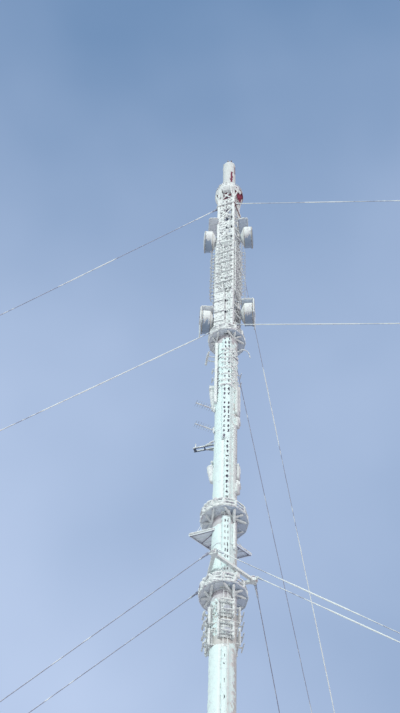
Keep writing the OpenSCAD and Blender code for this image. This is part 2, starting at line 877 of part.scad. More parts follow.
// Two comb aerials on short arms at the left of the tube
module yagi_antennas() {
    yagi_az = 228;
    heights = [tube_top_z - 1610, tube_top_z - 2050];
    boom_d = 8;
    rod_d = 4;
    rod_count = 8;
    rod_start = 24;
    rod_end = 6;
    root_gap = 24;
    root_r = tube_r + root_gap;
    root_in = 10;
    pole_h = 120;
    pole_d = 12;
    for (z = heights) color("whitesmoke") difference() {
        at_azimuth(yagi_az) {
            bar([0, tube_r - root_in, z], [0, root_r + yagi_boom, z], boom_d);
            bar([0, root_r, z - pole_h / 2], [0, root_r, z + pole_h / 2], pole_d);
            bar([0, tube_r - root_in, z - pole_h / 3], [0, root_r, z - pole_h / 3], boom_d);
            for (i = [0 : rod_count - 1]) {
                y = root_r + rod_start + i * (yagi_boom - rod_start - rod_end) / (rod_count - 1);
                bar([-yagi_rod / 2, y, z], [yagi_rod / 2, y, z], rod_d);
            }
        }
        tube_core(z - pole_h, z + pole_h);
    }
}

// Twin beams that reach out to the left, with braces and an upright rod
module side_outrigger() {
    out_az = 265;
    out_z = tube_top_z - 2250;
    beam_gap = 50;
    beam_w = 14;
    beam_in = 30;
    cross_at = [0.5, 0.98];
    stay_w = 10;
    brace_at = 0.45;
    brace_x = 100;
    brace_in = 60;
    rod_h = 130;
    rod_d = 8;
    rod_y = tube_r + 0.9 * outrigger_len;
    color("whitesmoke") difference() {
        at_azimuth(out_az) {
            for (x = [-beam_gap / 2, beam_gap / 2])
                translate([x - beam_w / 2, tube_r - beam_in, out_z])
                    cube([beam_w, outrigger_len + beam_in, beam_w]);
            for (y = cross_at)
                translate([-beam_gap / 2, tube_r + y * outrigger_len - beam_w, out_z])
                    cube([beam_gap, beam_w, beam_w]);
            for (side = [-1, 1])
                bar(
                    [side * beam_gap / 2, tube_r + brace_at * outrigger_len, out_z + beam_w / 2],
                    [side * brace_x, tube_r - brace_in, out_z + beam_w / 2],
                    stay_w
                );
            bar([0, rod_y, out_z + beam_w / 2], [0, rod_y, out_z + rod_h], rod_d);
            translate([-beam_gap / 2, rod_y - beam_w / 2, out_z])
                cube([beam_gap, beam_w, beam_w]);
        }
        tube_core(out_z - beam_gap, out_z + rod_h);
    }
}

// Small aerials on the upper tube: a long bar on two arms and short dipoles
module small_aerials() {
    bar_z = tube_top_z - 440;
    bar_r = tube_r + 127.5;
    bar_len = 210;
    bar_w = 26;
    bar_arm_x = 35;
    arm_d = 9;
    arm_in = 20;
    small_r = tube_r + 47.5;
    small_len = 85;
    small_z = [tube_top_z - 930, tube_top_z - 720];
    color("whitesmoke") difference() {
        union() {
            at_azimuth(240) {
                translate([-bar_len / 2, bar_r - bar_w / 2, bar_z - bar_w / 2])
                    cube([bar_len, bar_w / 2, bar_w]);
                for (x = [-bar_arm_x, bar_arm_x])
                    bar([x, tube_r - arm_in, bar_z], [x, bar_r - bar_w / 2, bar_z], arm_d);
            }
            for (az = [60, 240], z = small_z) at_azimuth(az) {
                bar([0, tube_r - arm_in, z], [0, small_r, z], arm_d);
                bar([-small_len / 2, small_r, z], [small_len / 2, small_r, z], arm_d);
            }
        }
        tube_core(min(small_z) - bar_w, bar_z + bar_w);
    }
}

// Equipment boxes on the sides of the tube. Each row has the azimuth, the bottom's height under
// the tube's top, the height, the width and the depth.
cabinets = [
    [72, 1610, 520, 90, 30],
    [78, 1860, 80, 70, 36],
    [72, 2880, 130, 90, 36],
    [80, 3110, 60, 80, 40],
    [252, 2860, 100, 80, 42],
    [250, 1450, 60, 60, 46]
];

module side_cabinets() {
    back_in = 30;
    for (c = cabinets) color("whitesmoke") difference() {
        bottom = tube_top_z - c[1];
        at_azimuth(c[0])
            translate([-c[3] / 2, tube_r - back_in, bottom])
                cube([c[3], c[4] + back_in, c[2]]);
        tube_core(bottom - over, bottom + c[2] + over);
    }
}

// Place of an anchor's pin: radial step towards the mast, and offset across
function anchor_pin(r, az, step, across = 0) =
    polar(r + step, az, block_h + anchor_pin_h) + polar(across, az + 90);

// Plate with a pin hole at a point, in the upright plane of an azimuth
module lug(pin, az, len) {
    translate(pin) at_azimuth(az) rotate([90, 0, 90]) difference() {
        translate([0, 0, -lug_t / 2]) linear_extrude(height = lug_t) union() {
            circle(r = lug_eye);
            polygon([[-len, -2 * lug_eye], [0, -lug_eye], [0, lug_eye], [-len, 2 * lug_eye]]);
        }
        translate([0, 0, -lug_t]) cylinder(h = 2 * lug_t, d = pin_d + 2 * fit_gap);
    }
}

// Guy rope between two pins, with a sleeve, a fork and a pin at each end
module guy(p, q) {
    way = q - p;
    run = norm(way);
    fork_w = lug_t + 2 * cheek_gap + 2 * cheek_t;
    translate(p) rotate([0, acos(way.z / run), atan2(way.y, way.x)]) {
        translate([0, 0, fork_len]) cylinder(h = run - 2 * fork_len, d = rope_d);
        for (end = [0, 1]) translate([0, 0, end * run]) mirror([0, 0, end]) {
            translate([0, 0, fork_len]) cylinder(h = sleeve_len, d = sleeve_d);
            translate([-cheek_w / 2, -fork_w / 2, fork_len - bridge_t])
                cube([cheek_w, fork_w, bridge_t + over]);
            for (side = [-1, 1])
                translate([
                    -cheek_w / 2,
                    side * (lug_t / 2 + cheek_gap + cheek_t / 2) - cheek_t / 2,
                    -cheek_w / 2
                ])
                    cube([cheek_w, cheek_t, fork_len]);
            rotate([90, 0, 0]) cylinder(h = fork_w, d = pin_d, center = true);
        }
    }
}

// Square frame around the lattice legs that carries three guy lugs
module guy_frame(z) {
    outer = lattice_w + 2 * frame_w;
    difference() {
        union() {
            translate([-outer / 2, -outer / 2, z - frame_h / 2]) cube([outer, outer, frame_h]);
            for (az = guy_azimuths) lug(polar(ring_lug_r, az, z), az, ring_lug_len);
        }
        translate([-lattice_w / 2, -lattice_w / 2, z - frame_h])
            cube([lattice_w, lattice_w, 2 * frame_h]);
    }
}

// Lugs for the guys: frames on the lattice, and plates on the tube lower down
module guy_brackets() {
    color("darkred") for (z = [guy_top_z, guy_upper_z]) guy_frame(z);
    color("whitesmoke") for (z = [guy_lower_z, guy_bottom_z], az = guy_azimuths) difference() {
        lug(polar(guy_lug_r, az, z), az, guy_lug_len);
        tube_core(z - guy_lug_len, z + guy_lug_len);
    }
}

// Guys of the first and second level, down to the outer anchors
module guys_outer() {
    color("lightgray") for (az = guy_azimuths) {
        guy(polar(ring_lug_r, az, guy_top_z), anchor_pin(outer_r, az, anchor_step));
        guy(polar(ring_lug_r, az, guy_upper_z), anchor_pin(outer_r, az, -anchor_step));
    }
}

// Guys of the torsion frame and of the two lower levels, down to the inner anchors
module guys_inner() {
    color("lightgray") {
        for (az = torsion_azimuths, side = [-1, 1])
            guy(
                torsion_pin(az, side),
                anchor_pin(inner_r, az + side * fold / 2, 0, -side * anchor_side)
            );
        for (az = guy_azimuths) {
            guy(polar(guy_lug_r, az, guy_lower_z), anchor_pin(inner_r, az, anchor_step));
            guy(polar(guy_lug_r, az, guy_bottom_z), anchor_pin(inner_r, az, -anchor_step));
        }
    }
}

// Concrete blocks that hold the guys
module anchor_blocks() {
    color("gray") for (r = [outer_r, inner_r], az = guy_azimuths)
        at_azimuth(az) translate([-anchor_w / 2, r - anchor_len / 2, 0])
            cube([anchor_w, anchor_len, block_h]);
}

// Steel plate on an anchor block with an upright that carries two pins
module anchor_seat(r, az) {
    foot_t = 12;
    seat_w = 240;
    seat_len = 300;
    pin_z = block_h + anchor_pin_h;
    at_azimuth(az) {
        translate([-seat_w / 2, r - seat_len / 2, block_h]) cube([seat_w, seat_len, foot_t]);
        difference() {
            union() {
                translate([-lug_t / 2, r - anchor_step - 2 * lug_eye, block_h])
                    cube([lug_t, 2 * anchor_step + 4 * lug_eye, anchor_pin_h]);
                for (step = [-anchor_step, anchor_step])
                    translate([-lug_t / 2, r + step, pin_z]) rotate([0, 90, 0])
                        cylinder(h = lug_t, r = lug_eye);
            }
            for (step = [-anchor_step, anchor_step])
                translate([-lug_t, r + step, pin_z]) rotate([0, 90, 0])
                    cylinder(h = 2 * lug_t, d = pin_d + 2 * fit_gap);
        }
    }
}

// Steel plates on all anchors, with side lugs for the torsion frame's ropes
module anchor_plates() {
    color("dimgray") {
        for (az = guy_azimuths) anchor_seat(outer_r, az);
        for (az = guy_azimuths) union() {
            anchor_seat(inner_r, az);
            for (side = [-1, 1]) {
                pin = anchor_pin(inner_r, az, 0, side * anchor_side);
                tip = torsion_pin(az + side * fold / 2, -side);
                translate(pin) at_azimuth(heading(pin, tip)) rotate([90, 0, 90]) difference() {
                    translate([0, 0, -lug_t / 2]) linear_extrude(height = lug_t) union() {
                        circle(r = lug_eye);
                        translate([-lug_eye, -anchor_pin_h]) square([2 * lug_eye, anchor_pin_h]);
                    }
                    translate([0, 0, -lug_t]) cylinder(h = 2 * lug_t, d = pin_d + 2 * fit_gap);
                }
            }
        }
    }
}

base_block();
base_bearing();
shaft_foot();
shaft_bottom();
shaft_lower();
shaft_middle();
shaft_upper();
access_ladder();
cable_duct();
lattice_legs();
lattice_front();
lattice_back();
lattice_left();
lattice_right();
head_platform();
head_rail();
head_cylinder();
head_lamps();
upper_deck();
upper_deck_rail();
upper_deck_struts();
mid_deck();
mid_deck_rail();
mid_deck_struts();
lower_deck();
lower_deck_rail();
lower_deck_struts();
rear_platform();
torsion_frame();
drum_aerials();
ice_shields();
panels_front();
panels_back();
panels_left();
panels_right();
fm_dipoles();
yagi_antennas();
side_outrigger();
small_aerials();
side_cabinets();
guy_brackets();
guys_outer();
guys_inner();
anchor_blocks();
anchor_plates();
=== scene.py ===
import math
import random

import bmesh
import bpy
from bpy.props import FloatProperty, FloatVectorProperty, PointerProperty
from mathutils import Matrix, Vector, noise


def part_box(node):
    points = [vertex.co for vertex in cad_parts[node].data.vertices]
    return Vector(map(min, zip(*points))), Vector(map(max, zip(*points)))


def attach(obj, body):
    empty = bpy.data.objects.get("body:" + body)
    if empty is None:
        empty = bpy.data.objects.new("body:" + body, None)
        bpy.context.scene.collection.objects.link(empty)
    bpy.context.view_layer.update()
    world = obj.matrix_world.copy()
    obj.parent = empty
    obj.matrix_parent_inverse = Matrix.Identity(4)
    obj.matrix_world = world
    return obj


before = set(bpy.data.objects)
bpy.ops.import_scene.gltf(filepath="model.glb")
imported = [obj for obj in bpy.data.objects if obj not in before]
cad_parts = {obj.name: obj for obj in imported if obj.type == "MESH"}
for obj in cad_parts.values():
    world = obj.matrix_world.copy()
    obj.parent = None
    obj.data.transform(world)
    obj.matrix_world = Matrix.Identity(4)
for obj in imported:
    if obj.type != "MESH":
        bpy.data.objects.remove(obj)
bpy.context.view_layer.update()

bl_info = {
    "name": "Rimed Radio Mast",
    "version": (1, 0, 0),
    "blender": (4, 5, 0),
    "location": "3D View > Sidebar > Radio Mast",
    "description": "Dresses a guyed radio mast with fittings, finishes and hard rime",
    "category": "Object",
}


def top_of(node):
    """Height of a node's top."""
    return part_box(node)[1].z


# Heights and sizes read from the frame, in metres at the model's scale of 1:10
TUBE_R = 0.1375
FLANGE_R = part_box("shaft_middle")[1].x
FOOT_R = 0.065
FOOT_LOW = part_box("shaft_foot")[0].z
TUBE_TOP = top_of("shaft_upper")
BLOCK_TOP = top_of("base_block")
JOINT_HEIGHTS = [top_of(f"shaft_{name}") for name in ("foot", "bottom", "lower", "middle")]
UPPER_DECK = top_of("upper_deck")
MID_DECK = top_of("mid_deck")
LOWER_DECK = top_of("lower_deck")
HEAD_Z = top_of("head_platform")
HEAD_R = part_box("head_platform")[1].x
LEG_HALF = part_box("lattice_legs")[1].x
SCREENS_TOP = top_of("panels_front")
COVERS_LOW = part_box("panels_front")[0].z
DUCT_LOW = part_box("cable_duct")[0].z
DUCT_TOP = top_of("cable_duct")

# Lattice bays, the inner face of their members, and tiers of the dipole screens
DECK_T = 0.014
BAYS = 14
INSIDE = -(LEG_HALF - 0.022)
BAY_H = (HEAD_Z - DECK_T - UPPER_DECK) / BAYS
BAY_LOW = UPPER_DECK + 0.0055
TIERS = 5
TIER_H = 0.281
SCREENS_LOW = SCREENS_TOP - TIERS * TIER_H + 0.007

# Azimuths in degrees, clockwise from +Y: guys, ladder, its openings, duct, photo's side, lamps
GUY_AZIMUTHS = [0, 120, 240]
LADDER_AZ = 153.0
HATCH_AZ = 158.0
DUCT_AZ = 216.0
VIEW_AZ = 160.6
LAMP_AZIMUTHS = (138, 183)

# Decks: name, height and width over the flats, and the depth of their struts
DECKS = (("upper", UPPER_DECK, 0.490), ("mid", MID_DECK, 0.540), ("lower", LOWER_DECK, 0.520))
STRUT_DROP = 0.045

# Head: distance of the lamps from the axis, and the spacing of the railing's bars
LAMP_OUT = 0.0666
RAIL_STEP = 0.055

# Heights between which the tube is bare of rime
BARE_HEIGHTS = (
    (LOWER_DECK - 0.84, LOWER_DECK - 0.72), (MID_DECK - 0.19, MID_DECK),
    (UPPER_DECK - 0.19, UPPER_DECK), (LOWER_DECK - 0.12, LOWER_DECK),
)

# Guy ropes: heights and distances of their lugs, their anchors and the torsion frame
HEAD_GUYS = HEAD_Z - 0.48
DECK_GUYS = UPPER_DECK + 0.236
LOW_GUYS = (8.3, 4.1)
LATTICE_LUG_R = 0.190
TUBE_LUG_R = 0.178
OUTER_R = 14.6
INNER_R = 9.54
ANCHOR_STEP = 0.07
ANCHOR_PIN_Z = 0.19
ANCHOR_TOP = BLOCK_TOP + 0.011
TORSION_Z = LOWER_DECK + 0.34
TORSION_R = 0.326
TORSION_AZIMUTHS = (60, 180, 300)

# Slanted platform behind the mast, and its turn in degrees
REAR_Z = MID_DECK - 0.235
REAR_NEAR = 0.158
REAR_LEN = 0.5635
REAR_W = 0.295
REAR_TURN = 30.0

# Heights of the curved arm on the tube and of the blocks' lifting eyes
ARM_Z = TUBE_TOP - 0.33
EYE_Z = BLOCK_TOP + 0.0015

# Drum aerials: distances, arms, and each drum's azimuth, height over the deck and hood's height
DRUM_R = 0.295
POLE_R = 0.1765
DRUM_ARMS = (-0.106, 0.106)
DRUMS = ((249, 2.746, 0.470), (75, 2.876, 0.335), (247, 0.476, 0.172), (75, 0.686, 0.172))

# Columns of the lower aerial: azimuth and how far they hang below the highest
FM_COLUMNS = ((60, 0.0), (150, 0.0), (240, 0.070), (330, 0.070))

# Cabinets on the upper tube: azimuth, bottom below the tube's top, height, width, depth
CABINETS = (
    (72, 1.610, 0.520, 0.090, 0.030), (78, 1.860, 0.080, 0.070, 0.036),
    (72, 2.880, 0.130, 0.090, 0.036), (80, 3.110, 0.060, 0.080, 0.040),
    (252, 2.860, 0.100, 0.080, 0.042), (250, 1.450, 0.060, 0.060, 0.046),
)

HOAR = (0.855, 0.895, 0.885, 1.0)
OLD_RED = (0.30, 0.10, 0.10, 1.0)

# Finishes of the frame's nodes; the rest are painted steel
NODE_FINISHES = {
    "painted_tube": ["shaft_foot", "shaft_bottom", "shaft_lower", "shaft_middle", "shaft_upper"],
    "slate_frame": ["side_outrigger", "yagi_antennas"],
    "red_paint": ["head_platform", "guy_brackets"],
    "head_cover": ["head_cylinder"],
    "dim_lamp": ["head_lamps"],
    "deck_steel": ["upper_deck", "mid_deck", "lower_deck", "ice_shields"],
    "rear_plate": ["rear_platform"],
    "drum_shell": ["drum_aerials"],
    "aerial_metal": [
        "panels_front", "panels_back", "panels_left", "panels_right", "small_aerials",
    ],
    "dipole_poles": ["fm_dipoles"],
    "plain_steel": ["base_bearing", "anchor_plates"],
    "guy_rope": ["guys_outer", "guys_inner"],
    "concrete": ["base_block", "anchor_blocks"],
}


class RimeSettings(bpy.types.PropertyGroup):
    """Colours and depth of the hard rime."""

    wind: FloatProperty(
        name="Wind azimuth", description="Azimuth that the rime grows towards, in degrees",
        default=205.0, min=0.0, max=360.0,
    )
    light: FloatVectorProperty(
        name="Rime", description="Colour of fresh rime", subtype="COLOR", size=4,
        default=(0.82, 0.965, 0.95, 1.0),
    )
    # Painted shade: the rime takes this colour on its lee side, on faces that look down and in the
    # hollows of its bump, as well as in random packed patches
    shade: FloatVectorProperty(
        name="Packed rime and painted shade", description="Colour of old, packed rime", subtype="COLOR", size=4,
        default=(0.56, 0.50, 0.60, 1.0),
    )
    depth: FloatProperty(
        name="Crust depth", description="Depth of the crust on the tube's windward side",
        default=0.010, min=0.001, max=0.02, unit="LENGTH",
    )


class PaintSettings(bpy.types.PropertyGroup):
    """Colours of the painted and bare surfaces."""

    white: FloatVectorProperty(
        name="White paint", description="Weathered white paint of the steelwork",
        subtype="COLOR", size=4, default=(0.64, 0.62, 0.59, 1.0),
    )
    red: FloatVectorProperty(
        name="Red paint", description="Dark red paint of the mast's head", subtype="COLOR",
        size=4, default=(0.23, 0.035, 0.06, 1.0),
    )
    zinc: FloatVectorProperty(
        name="Galvanised steel", description="Undersides of the decks", subtype="COLOR",
        size=4, default=(0.585, 0.65, 0.765, 1.0),
    )
    slate: FloatVectorProperty(
        name="Drum shell", description="Slate grey of the drum aerials", subtype="COLOR",
        size=4, default=(0.34, 0.43, 0.565, 1.0),
    )
    dipole: FloatVectorProperty(
        name="Aerial metal", description="Dark metal of the dipoles", subtype="COLOR",
        size=4, default=(0.26, 0.27, 0.33, 1.0),
    )


class StageSettings(bpy.types.PropertyGroup):
    """Floor, backdrop and light."""

    floor: FloatVectorProperty(
        name="Floor", description="Colour of the floor", subtype="COLOR", size=4,
        default=(0.72, 0.74, 0.77, 1.0),
    )
    high: FloatVectorProperty(
        name="Backdrop above", description="Colour of the backdrop high up", subtype="COLOR",
        size=4, default=(0.170, 0.285, 0.485, 1.0),
    )
    low: FloatVectorProperty(
        name="Backdrop below", description="Colour of the backdrop low down", subtype="COLOR",
        size=4, default=(0.52, 0.635, 0.86, 1.0),
    )
    key: FloatProperty(
        name="Key lamp", description="Strength of the main lamp", default=1.68, min=0.0,
    )
    fill: FloatProperty(
        name="Fill lamp", description="Strength of the second lamp", default=1.22, min=0.0,
    )
    around: FloatProperty(
        name="Light around", description="Strength of the light from all sides",
        default=0.46, min=0.0,
    )


def polar(radius, azimuth, z=0.0):
    """Point at a distance and azimuth from the mast's axis, clockwise from +Y."""
    turn = math.radians(azimuth)
    return Vector((radius * math.sin(turn), radius * math.cos(turn), z))


def lift(height):
    """Step upwards."""
    return Vector((0.0, 0.0, height))


def facing(azimuth, z=0.0):
    """Matrix that turns local +Y to an azimuth, at a height."""
    return Matrix.Translation((0, 0, z)) @ Matrix.Rotation(-math.radians(azimuth), 4, "Z")


def at(matrix, x, y, z):
    """Matrix moved to a point of its own axes."""
    return matrix @ Matrix.Translation((x, y, z))


def span(matrix, start, end):
    """Two points given in a matrix's own axes."""
    return matrix @ Vector(start), matrix @ Vector(end)


def bar_across(matrix, left, right, y, z=0.0):
    """Ends of a bar along a matrix's X axis."""
    return span(matrix, (left, y, z), (right, y, z))


def bar_out(matrix, x, near, far, z=0.0):
    """Ends of a bar along a matrix's Y axis."""
    return span(matrix, (x, near, z), (x, far, z))


def bar_up(matrix, x, y, low, high):
    """Ends of a bar along a matrix's Z axis."""
    return span(matrix, (x, y, low), (x, y, high))


def aligned(start, end):
    """Matrix that carries a shape on Z to the middle of a bar from start to end."""
    start, end = Vector(start), Vector(end)
    turn = (end - start).to_track_quat("Z", "Y").to_matrix().to_4x4()
    return Matrix.Translation((start + end) / 2) @ turn


def spread(low, high, step):
    """Values from low to high about a step apart."""
    count = max(1, round((high - low) / step))
    return [low + (high - low) * k / count for k in range(count + 1)]


def join(bm, part):
    """Adds a part's shape to a larger one and frees it."""
    scratch = bpy.data.meshes.new("scratch")
    part.to_mesh(scratch)
    part.free()
    bm.from_mesh(scratch)
    bpy.data.meshes.remove(scratch)


def add_rod(bm, start, end, radius, sides=8, taper=1.0):
    """Round bar between two points."""
    run = (Vector(end) - Vector(start)).length
    bmesh.ops.create_cone(
        bm, cap_ends=True, segments=sides, radius1=radius, radius2=radius * taper, depth=run,
        matrix=aligned(start, end),
    )


def add_studs(bm, foot, *parts):
    """Upright round or six-sided parts on one foot, each a height, radius and sides."""
    for height, radius, sides in parts:
        add_rod(bm, foot, foot + lift(height), radius, sides)


def add_block(bm, size, matrix, edge=0.0008):
    """Block with broken edges, its size along the matrix's axes."""
    made = bmesh.ops.create_cube(bm, size=1.0, matrix=matrix @ Matrix.Diagonal((*size, 1.0)))
    edges = {item for vert in made["verts"] for item in vert.link_edges}
    bmesh.ops.bevel(
        bm, geom=list(edges), offset=edge, affect="EDGES", segments=1, profile=0.5, material=-1
    )


def add_wedge(bm, matrix, corner):
    """Plate whose corners a rule moves to their places."""
    part = bmesh.new()
    bmesh.ops.create_cube(part, size=1.0)
    for vert in part.verts:
        vert.co = Vector(corner(*vert.co))
    bmesh.ops.transform(part, matrix=matrix, verts=part.verts)
    join(bm, part)


def add_ring(bm, matrix, radius, thick, around=48, sides=8):
    """Round hoop about the matrix's Z axis."""
    part = bmesh.new()
    bmesh.ops.create_circle(
        part, segments=sides, radius=thick,
        matrix=Matrix.Translation((radius, 0, 0)) @ Matrix.Rotation(math.radians(90), 4, "X"),
    )
    bmesh.ops.spin(
        part, geom=part.verts[:] + part.edges[:], cent=(0, 0, 0), axis=(0, 0, 1),
        angle=math.radians(360), steps=around, use_merge=True,
    )
    bmesh.ops.remove_doubles(part, verts=part.verts, dist=0.00001)
    bmesh.ops.recalc_face_normals(part, faces=part.faces)
    bmesh.ops.transform(part, matrix=matrix, verts=part.verts)
    join(bm, part)


def add_eye(bm, spot, radius, thick):
    """Lifting eye that stands upright."""
    upright = Matrix.Translation(spot) @ Matrix.Rotation(math.radians(90), 4, "X")
    add_ring(bm, upright, radius, thick, 20, 8)


def piece(name, bm, finish, smooth=35.0):
    """Turns a finished shape into an object that rides on the mast."""
    bmesh.ops.remove_doubles(bm, verts=bm.verts, dist=0.00001)
    bmesh.ops.recalc_face_normals(bm, faces=bm.faces)
    mesh = bpy.data.meshes.new(name)
    bm.to_mesh(mesh)
    bm.free()
    mesh.shade_smooth()
    mesh.set_sharp_from_angle(angle=math.radians(smooth))
    mesh.materials.append(MATERIALS[finish])
    made = bpy.data.objects.new(name, mesh)
    bpy.context.scene.collection.objects.link(made)
    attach(made, "root")


def crust(name, bm, finish="hoar"):
    """Turns a finished shape of rime into an object."""
    piece(f"rime_{name}", bm, finish, 60.0)


def wind_from():
    """Direction that the rime grows towards."""
    return polar(1.0, bpy.context.scene.mast_rime.wind, 0.2).normalized()


def lumps(place, size):
    """Roughness of rime at a place: lumps of a size with finer feathers on them."""
    near = place / size
    return (
        0.60 * noise.noise(near) + 0.35 * noise.noise(near * 2.3) + 0.20 * noise.noise(near * 5.1)
    )


def wind_growth(bias, size=0.03):
    """Growth of rime that is deep into the wind: takes a place and its outward direction."""
    wind = wind_from()

    def grow(place, outward):
        return max(0.0, min(1.35, 0.55 * outward.dot(wind) + bias + lumps(place, size)))

    return grow


def sleeve(bm, start, end, radius, depth, sides=7, step=0.014, grow=None, square=False,
           end_radius=None):
    """Crust of rime round a bar, sunk into it where the bar is bare, closed at both ends."""
    grow = grow or wind_growth(0.35)
    run = (end - start).length
    rings = max(2, round(run / step))
    part = bmesh.new()
    bmesh.ops.create_cone(part, cap_ends=True, segments=sides, radius1=1.0, radius2=1.0, depth=2.0)
    upright = [
        edge for edge in part.edges if abs(edge.verts[0].co.z - edge.verts[1].co.z) > 1.0
    ]
    bmesh.ops.subdivide_edges(part, edges=upright, cuts=rings - 1)
    basis = aligned(start, end).to_3x3()
    sunk = 0.0015
    fade = min(0.4 * run, 0.01) + 0.0001
    for vert in part.verts:
        along = (vert.co.z + 1.0) / 2.0
        outward = basis @ Vector((vert.co.x, vert.co.y, 0.0))
        centre = start.lerp(end, along)
        reach = radius + (end_radius - radius) * along if end_radius else radius
        if square:
            reach = radius / max(abs(vert.co.x), abs(vert.co.y))
        thick = grow(centre + outward * reach, outward)
        thick *= min(1.0, min(along, 1.0 - along) * run / fade)
        vert.co = centre + outward * (reach - sunk + (depth + sunk) * thick)
    join(bm, part)


def sheet(bm, columns, rows, keep, place, thick, depth, size=0.02):
    """Crust of rime spread between columns and rows, with holes where keep says no."""
    part = bmesh.new()
    bmesh.ops.create_grid(
        part, x_segments=len(columns) - 1, y_segments=len(rows) - 1, size=1.0
    )
    wide = sorted({round(vert.co.x, 5) for vert in part.verts})
    high = sorted({round(vert.co.y, 5) for vert in part.verts})
    for vert in part.verts:
        column = columns[wide.index(round(vert.co.x, 5))]
        row = rows[high.index(round(vert.co.y, 5))]
        vert.co = Vector((column, row, 0.0))
    gone = [face for face in part.faces if not keep(*face.calc_center_median().to_2d())]
    while gone:
        bmesh.ops.delete(part, geom=gone, context="FACES")
        gone = list({vert.link_faces[0] for vert in part.verts if touches_by_a_corner(vert)})
    back = bmesh.ops.extrude_face_region(
        part, geom=part.faces[:] + part.edges[:] + part.verts[:], use_keep_orig=True
    )
    for item in back["geom"]:
        if isinstance(item, bmesh.types.BMVert):
            item.co.z = -thick
    for vert in part.verts:
        vert.co = place(*vert.co)
    bmesh.ops.recalc_face_normals(part, faces=part.faces)
    part.normal_update()
    moves = [(vert, vert.normal * depth * lumps(vert.co, size)) for vert in part.verts]
    for vert, move in moves:
        vert.co += move
    join(bm, part)


def touches_by_a_corner(vert):
    """Whether two faces meet at a point alone."""
    faces = vert.link_faces
    return len(faces) == 2 and not set(faces[0].edges) & set(faces[1].edges)


def on_face(matrix, reach):
    """Rule that lays a sheet on a flat face at a distance from the axis."""
    return lambda x, z, deep: matrix @ Vector((x, reach + deep, z))


def on_tube(matrix, radius):
    """Rule that lays a sheet round the axis."""

    def place(x, z, deep):
        reach = radius + deep
        return matrix @ Vector((x, math.sqrt(reach * reach - x * x), z))

    return place


def anchor_pin(radius, azimuth, across=0.0):
    """Place of an anchor's pin at a distance from the mast, moved sideways."""
    return polar(radius, azimuth, ANCHOR_PIN_Z) + polar(across, azimuth + 90.0)


def outer_ropes():
    """Ends of the ropes of the two upper levels."""
    for azimuth in GUY_AZIMUTHS:
        for z, step in ((HEAD_GUYS, ANCHOR_STEP), (DECK_GUYS, -ANCHOR_STEP)):
            yield polar(LATTICE_LUG_R, azimuth, z), anchor_pin(OUTER_R + step, azimuth)


def inner_ropes():
    """Ends of the torsion frame's ropes and of the two lower levels."""
    for azimuth in TORSION_AZIMUTHS:
        tip = polar(TORSION_R, azimuth, TORSION_Z)
        for side in (-1, 1):
            far = anchor_pin(INNER_R, azimuth + side * 60, -side * 0.080)
            way = Vector((far.x - tip.x, far.y - tip.y, 0.0)).normalized()
            yield tip + way * 0.062, far
    for azimuth in GUY_AZIMUTHS:
        for z, step in zip(LOW_GUYS, (ANCHOR_STEP, -ANCHOR_STEP)):
            yield polar(TUBE_LUG_R, azimuth, z), anchor_pin(INNER_R + step, azimuth)


def steps(count, rule):
    """Pairs of neighbouring points on a line that a rule gives."""
    return [(rule(k), rule(k + 1)) for k in range(count)]


def settle(tree, made, inputs):
    """Plugs values or sockets into a node's inputs."""
    for name, value in inputs.items():
        if isinstance(value, bpy.types.NodeSocket):
            tree.links.new(value, made.inputs[name])
        else:
            made.inputs[name].default_value = value


def plug(tree, kind, inputs=None, **settings):
    """Adds a shader node with its settings and inputs."""
    made = tree.nodes.new(kind)
    for name, value in settings.items():
        setattr(made, name, value)
    settle(tree, made, inputs or {})
    return made


def maths(tree, operation, first, second, clamp=False):
    """Result of one operation on two values or sockets."""
    return plug(
        tree, "ShaderNodeMath", {0: first, 1: second}, operation=operation, use_clamp=clamp
    ).outputs[0]


def plus(tree, first, second):
    """Sum of two values or sockets."""
    return maths(tree, "ADD", first, second)


def less(tree, first, second):
    """First value or socket less the second."""
    return maths(tree, "SUBTRACT", first, second)


def times(tree, first, second):
    """Product of two values or sockets."""
    return maths(tree, "MULTIPLY", first, second)


def dot(tree, first, second):
    """Dot product of two directions."""
    return plug(
        tree, "ShaderNodeVectorMath", {0: first, 1: second}, operation="DOT_PRODUCT"
    ).outputs["Value"]


def z_of(tree, vector):
    """Upward part of a vector."""
    return plug(tree, "ShaderNodeSeparateXYZ", {0: vector}).outputs["Z"]


def blend_colours(tree, factor, first, second):
    """Two colours mixed by a mask."""
    return plug(
        tree, "ShaderNodeMix", {0: factor, 6: first, 7: second}, data_type="RGBA"
    ).outputs[2]


def between(tree, value, low, high, smooth=True):
    """Mask that rises from 0 to 1 as a value goes from low to high."""
    return plug(
        tree, "ShaderNodeMapRange", {"Value": value, "From Min": low, "From Max": high},
        interpolation_type="SMOOTHSTEP" if smooth else "LINEAR",
    ).outputs[0]


def in_bands(tree, height, bands):
    """Mask of heights in some bands, each given as start, full from, full to and end."""
    mask = 0.0
    for start, full, last, end in bands:
        band = times(tree, between(tree, height, start, full), between(tree, height, end, last))
        mask = maths(tree, "MAXIMUM", mask, band)
    return mask


def place_of(tree):
    """Object coordinates in a material or group."""
    return plug(tree, "ShaderNodeTexCoord").outputs["Object"]


def stretched(tree, vector, scale):
    """Coordinates scaled along each axis."""
    return plug(tree, "ShaderNodeMapping", {"Vector": vector, "Scale": scale}).outputs[0]


def speckle(tree, vector, scale, detail=4.0, rough=0.6):
    """Noise value at a scale."""
    return plug(
        tree, "ShaderNodeTexNoise",
        {"Vector": vector, "Scale": scale, "Detail": detail, "Roughness": rough},
    ).outputs["Fac"]


def cells(tree, vector, scale):
    """Distance to the nearest of scattered points."""
    return plug(
        tree, "ShaderNodeTexVoronoi", {"Vector": vector, "Scale": scale}
    ).outputs["Distance"]


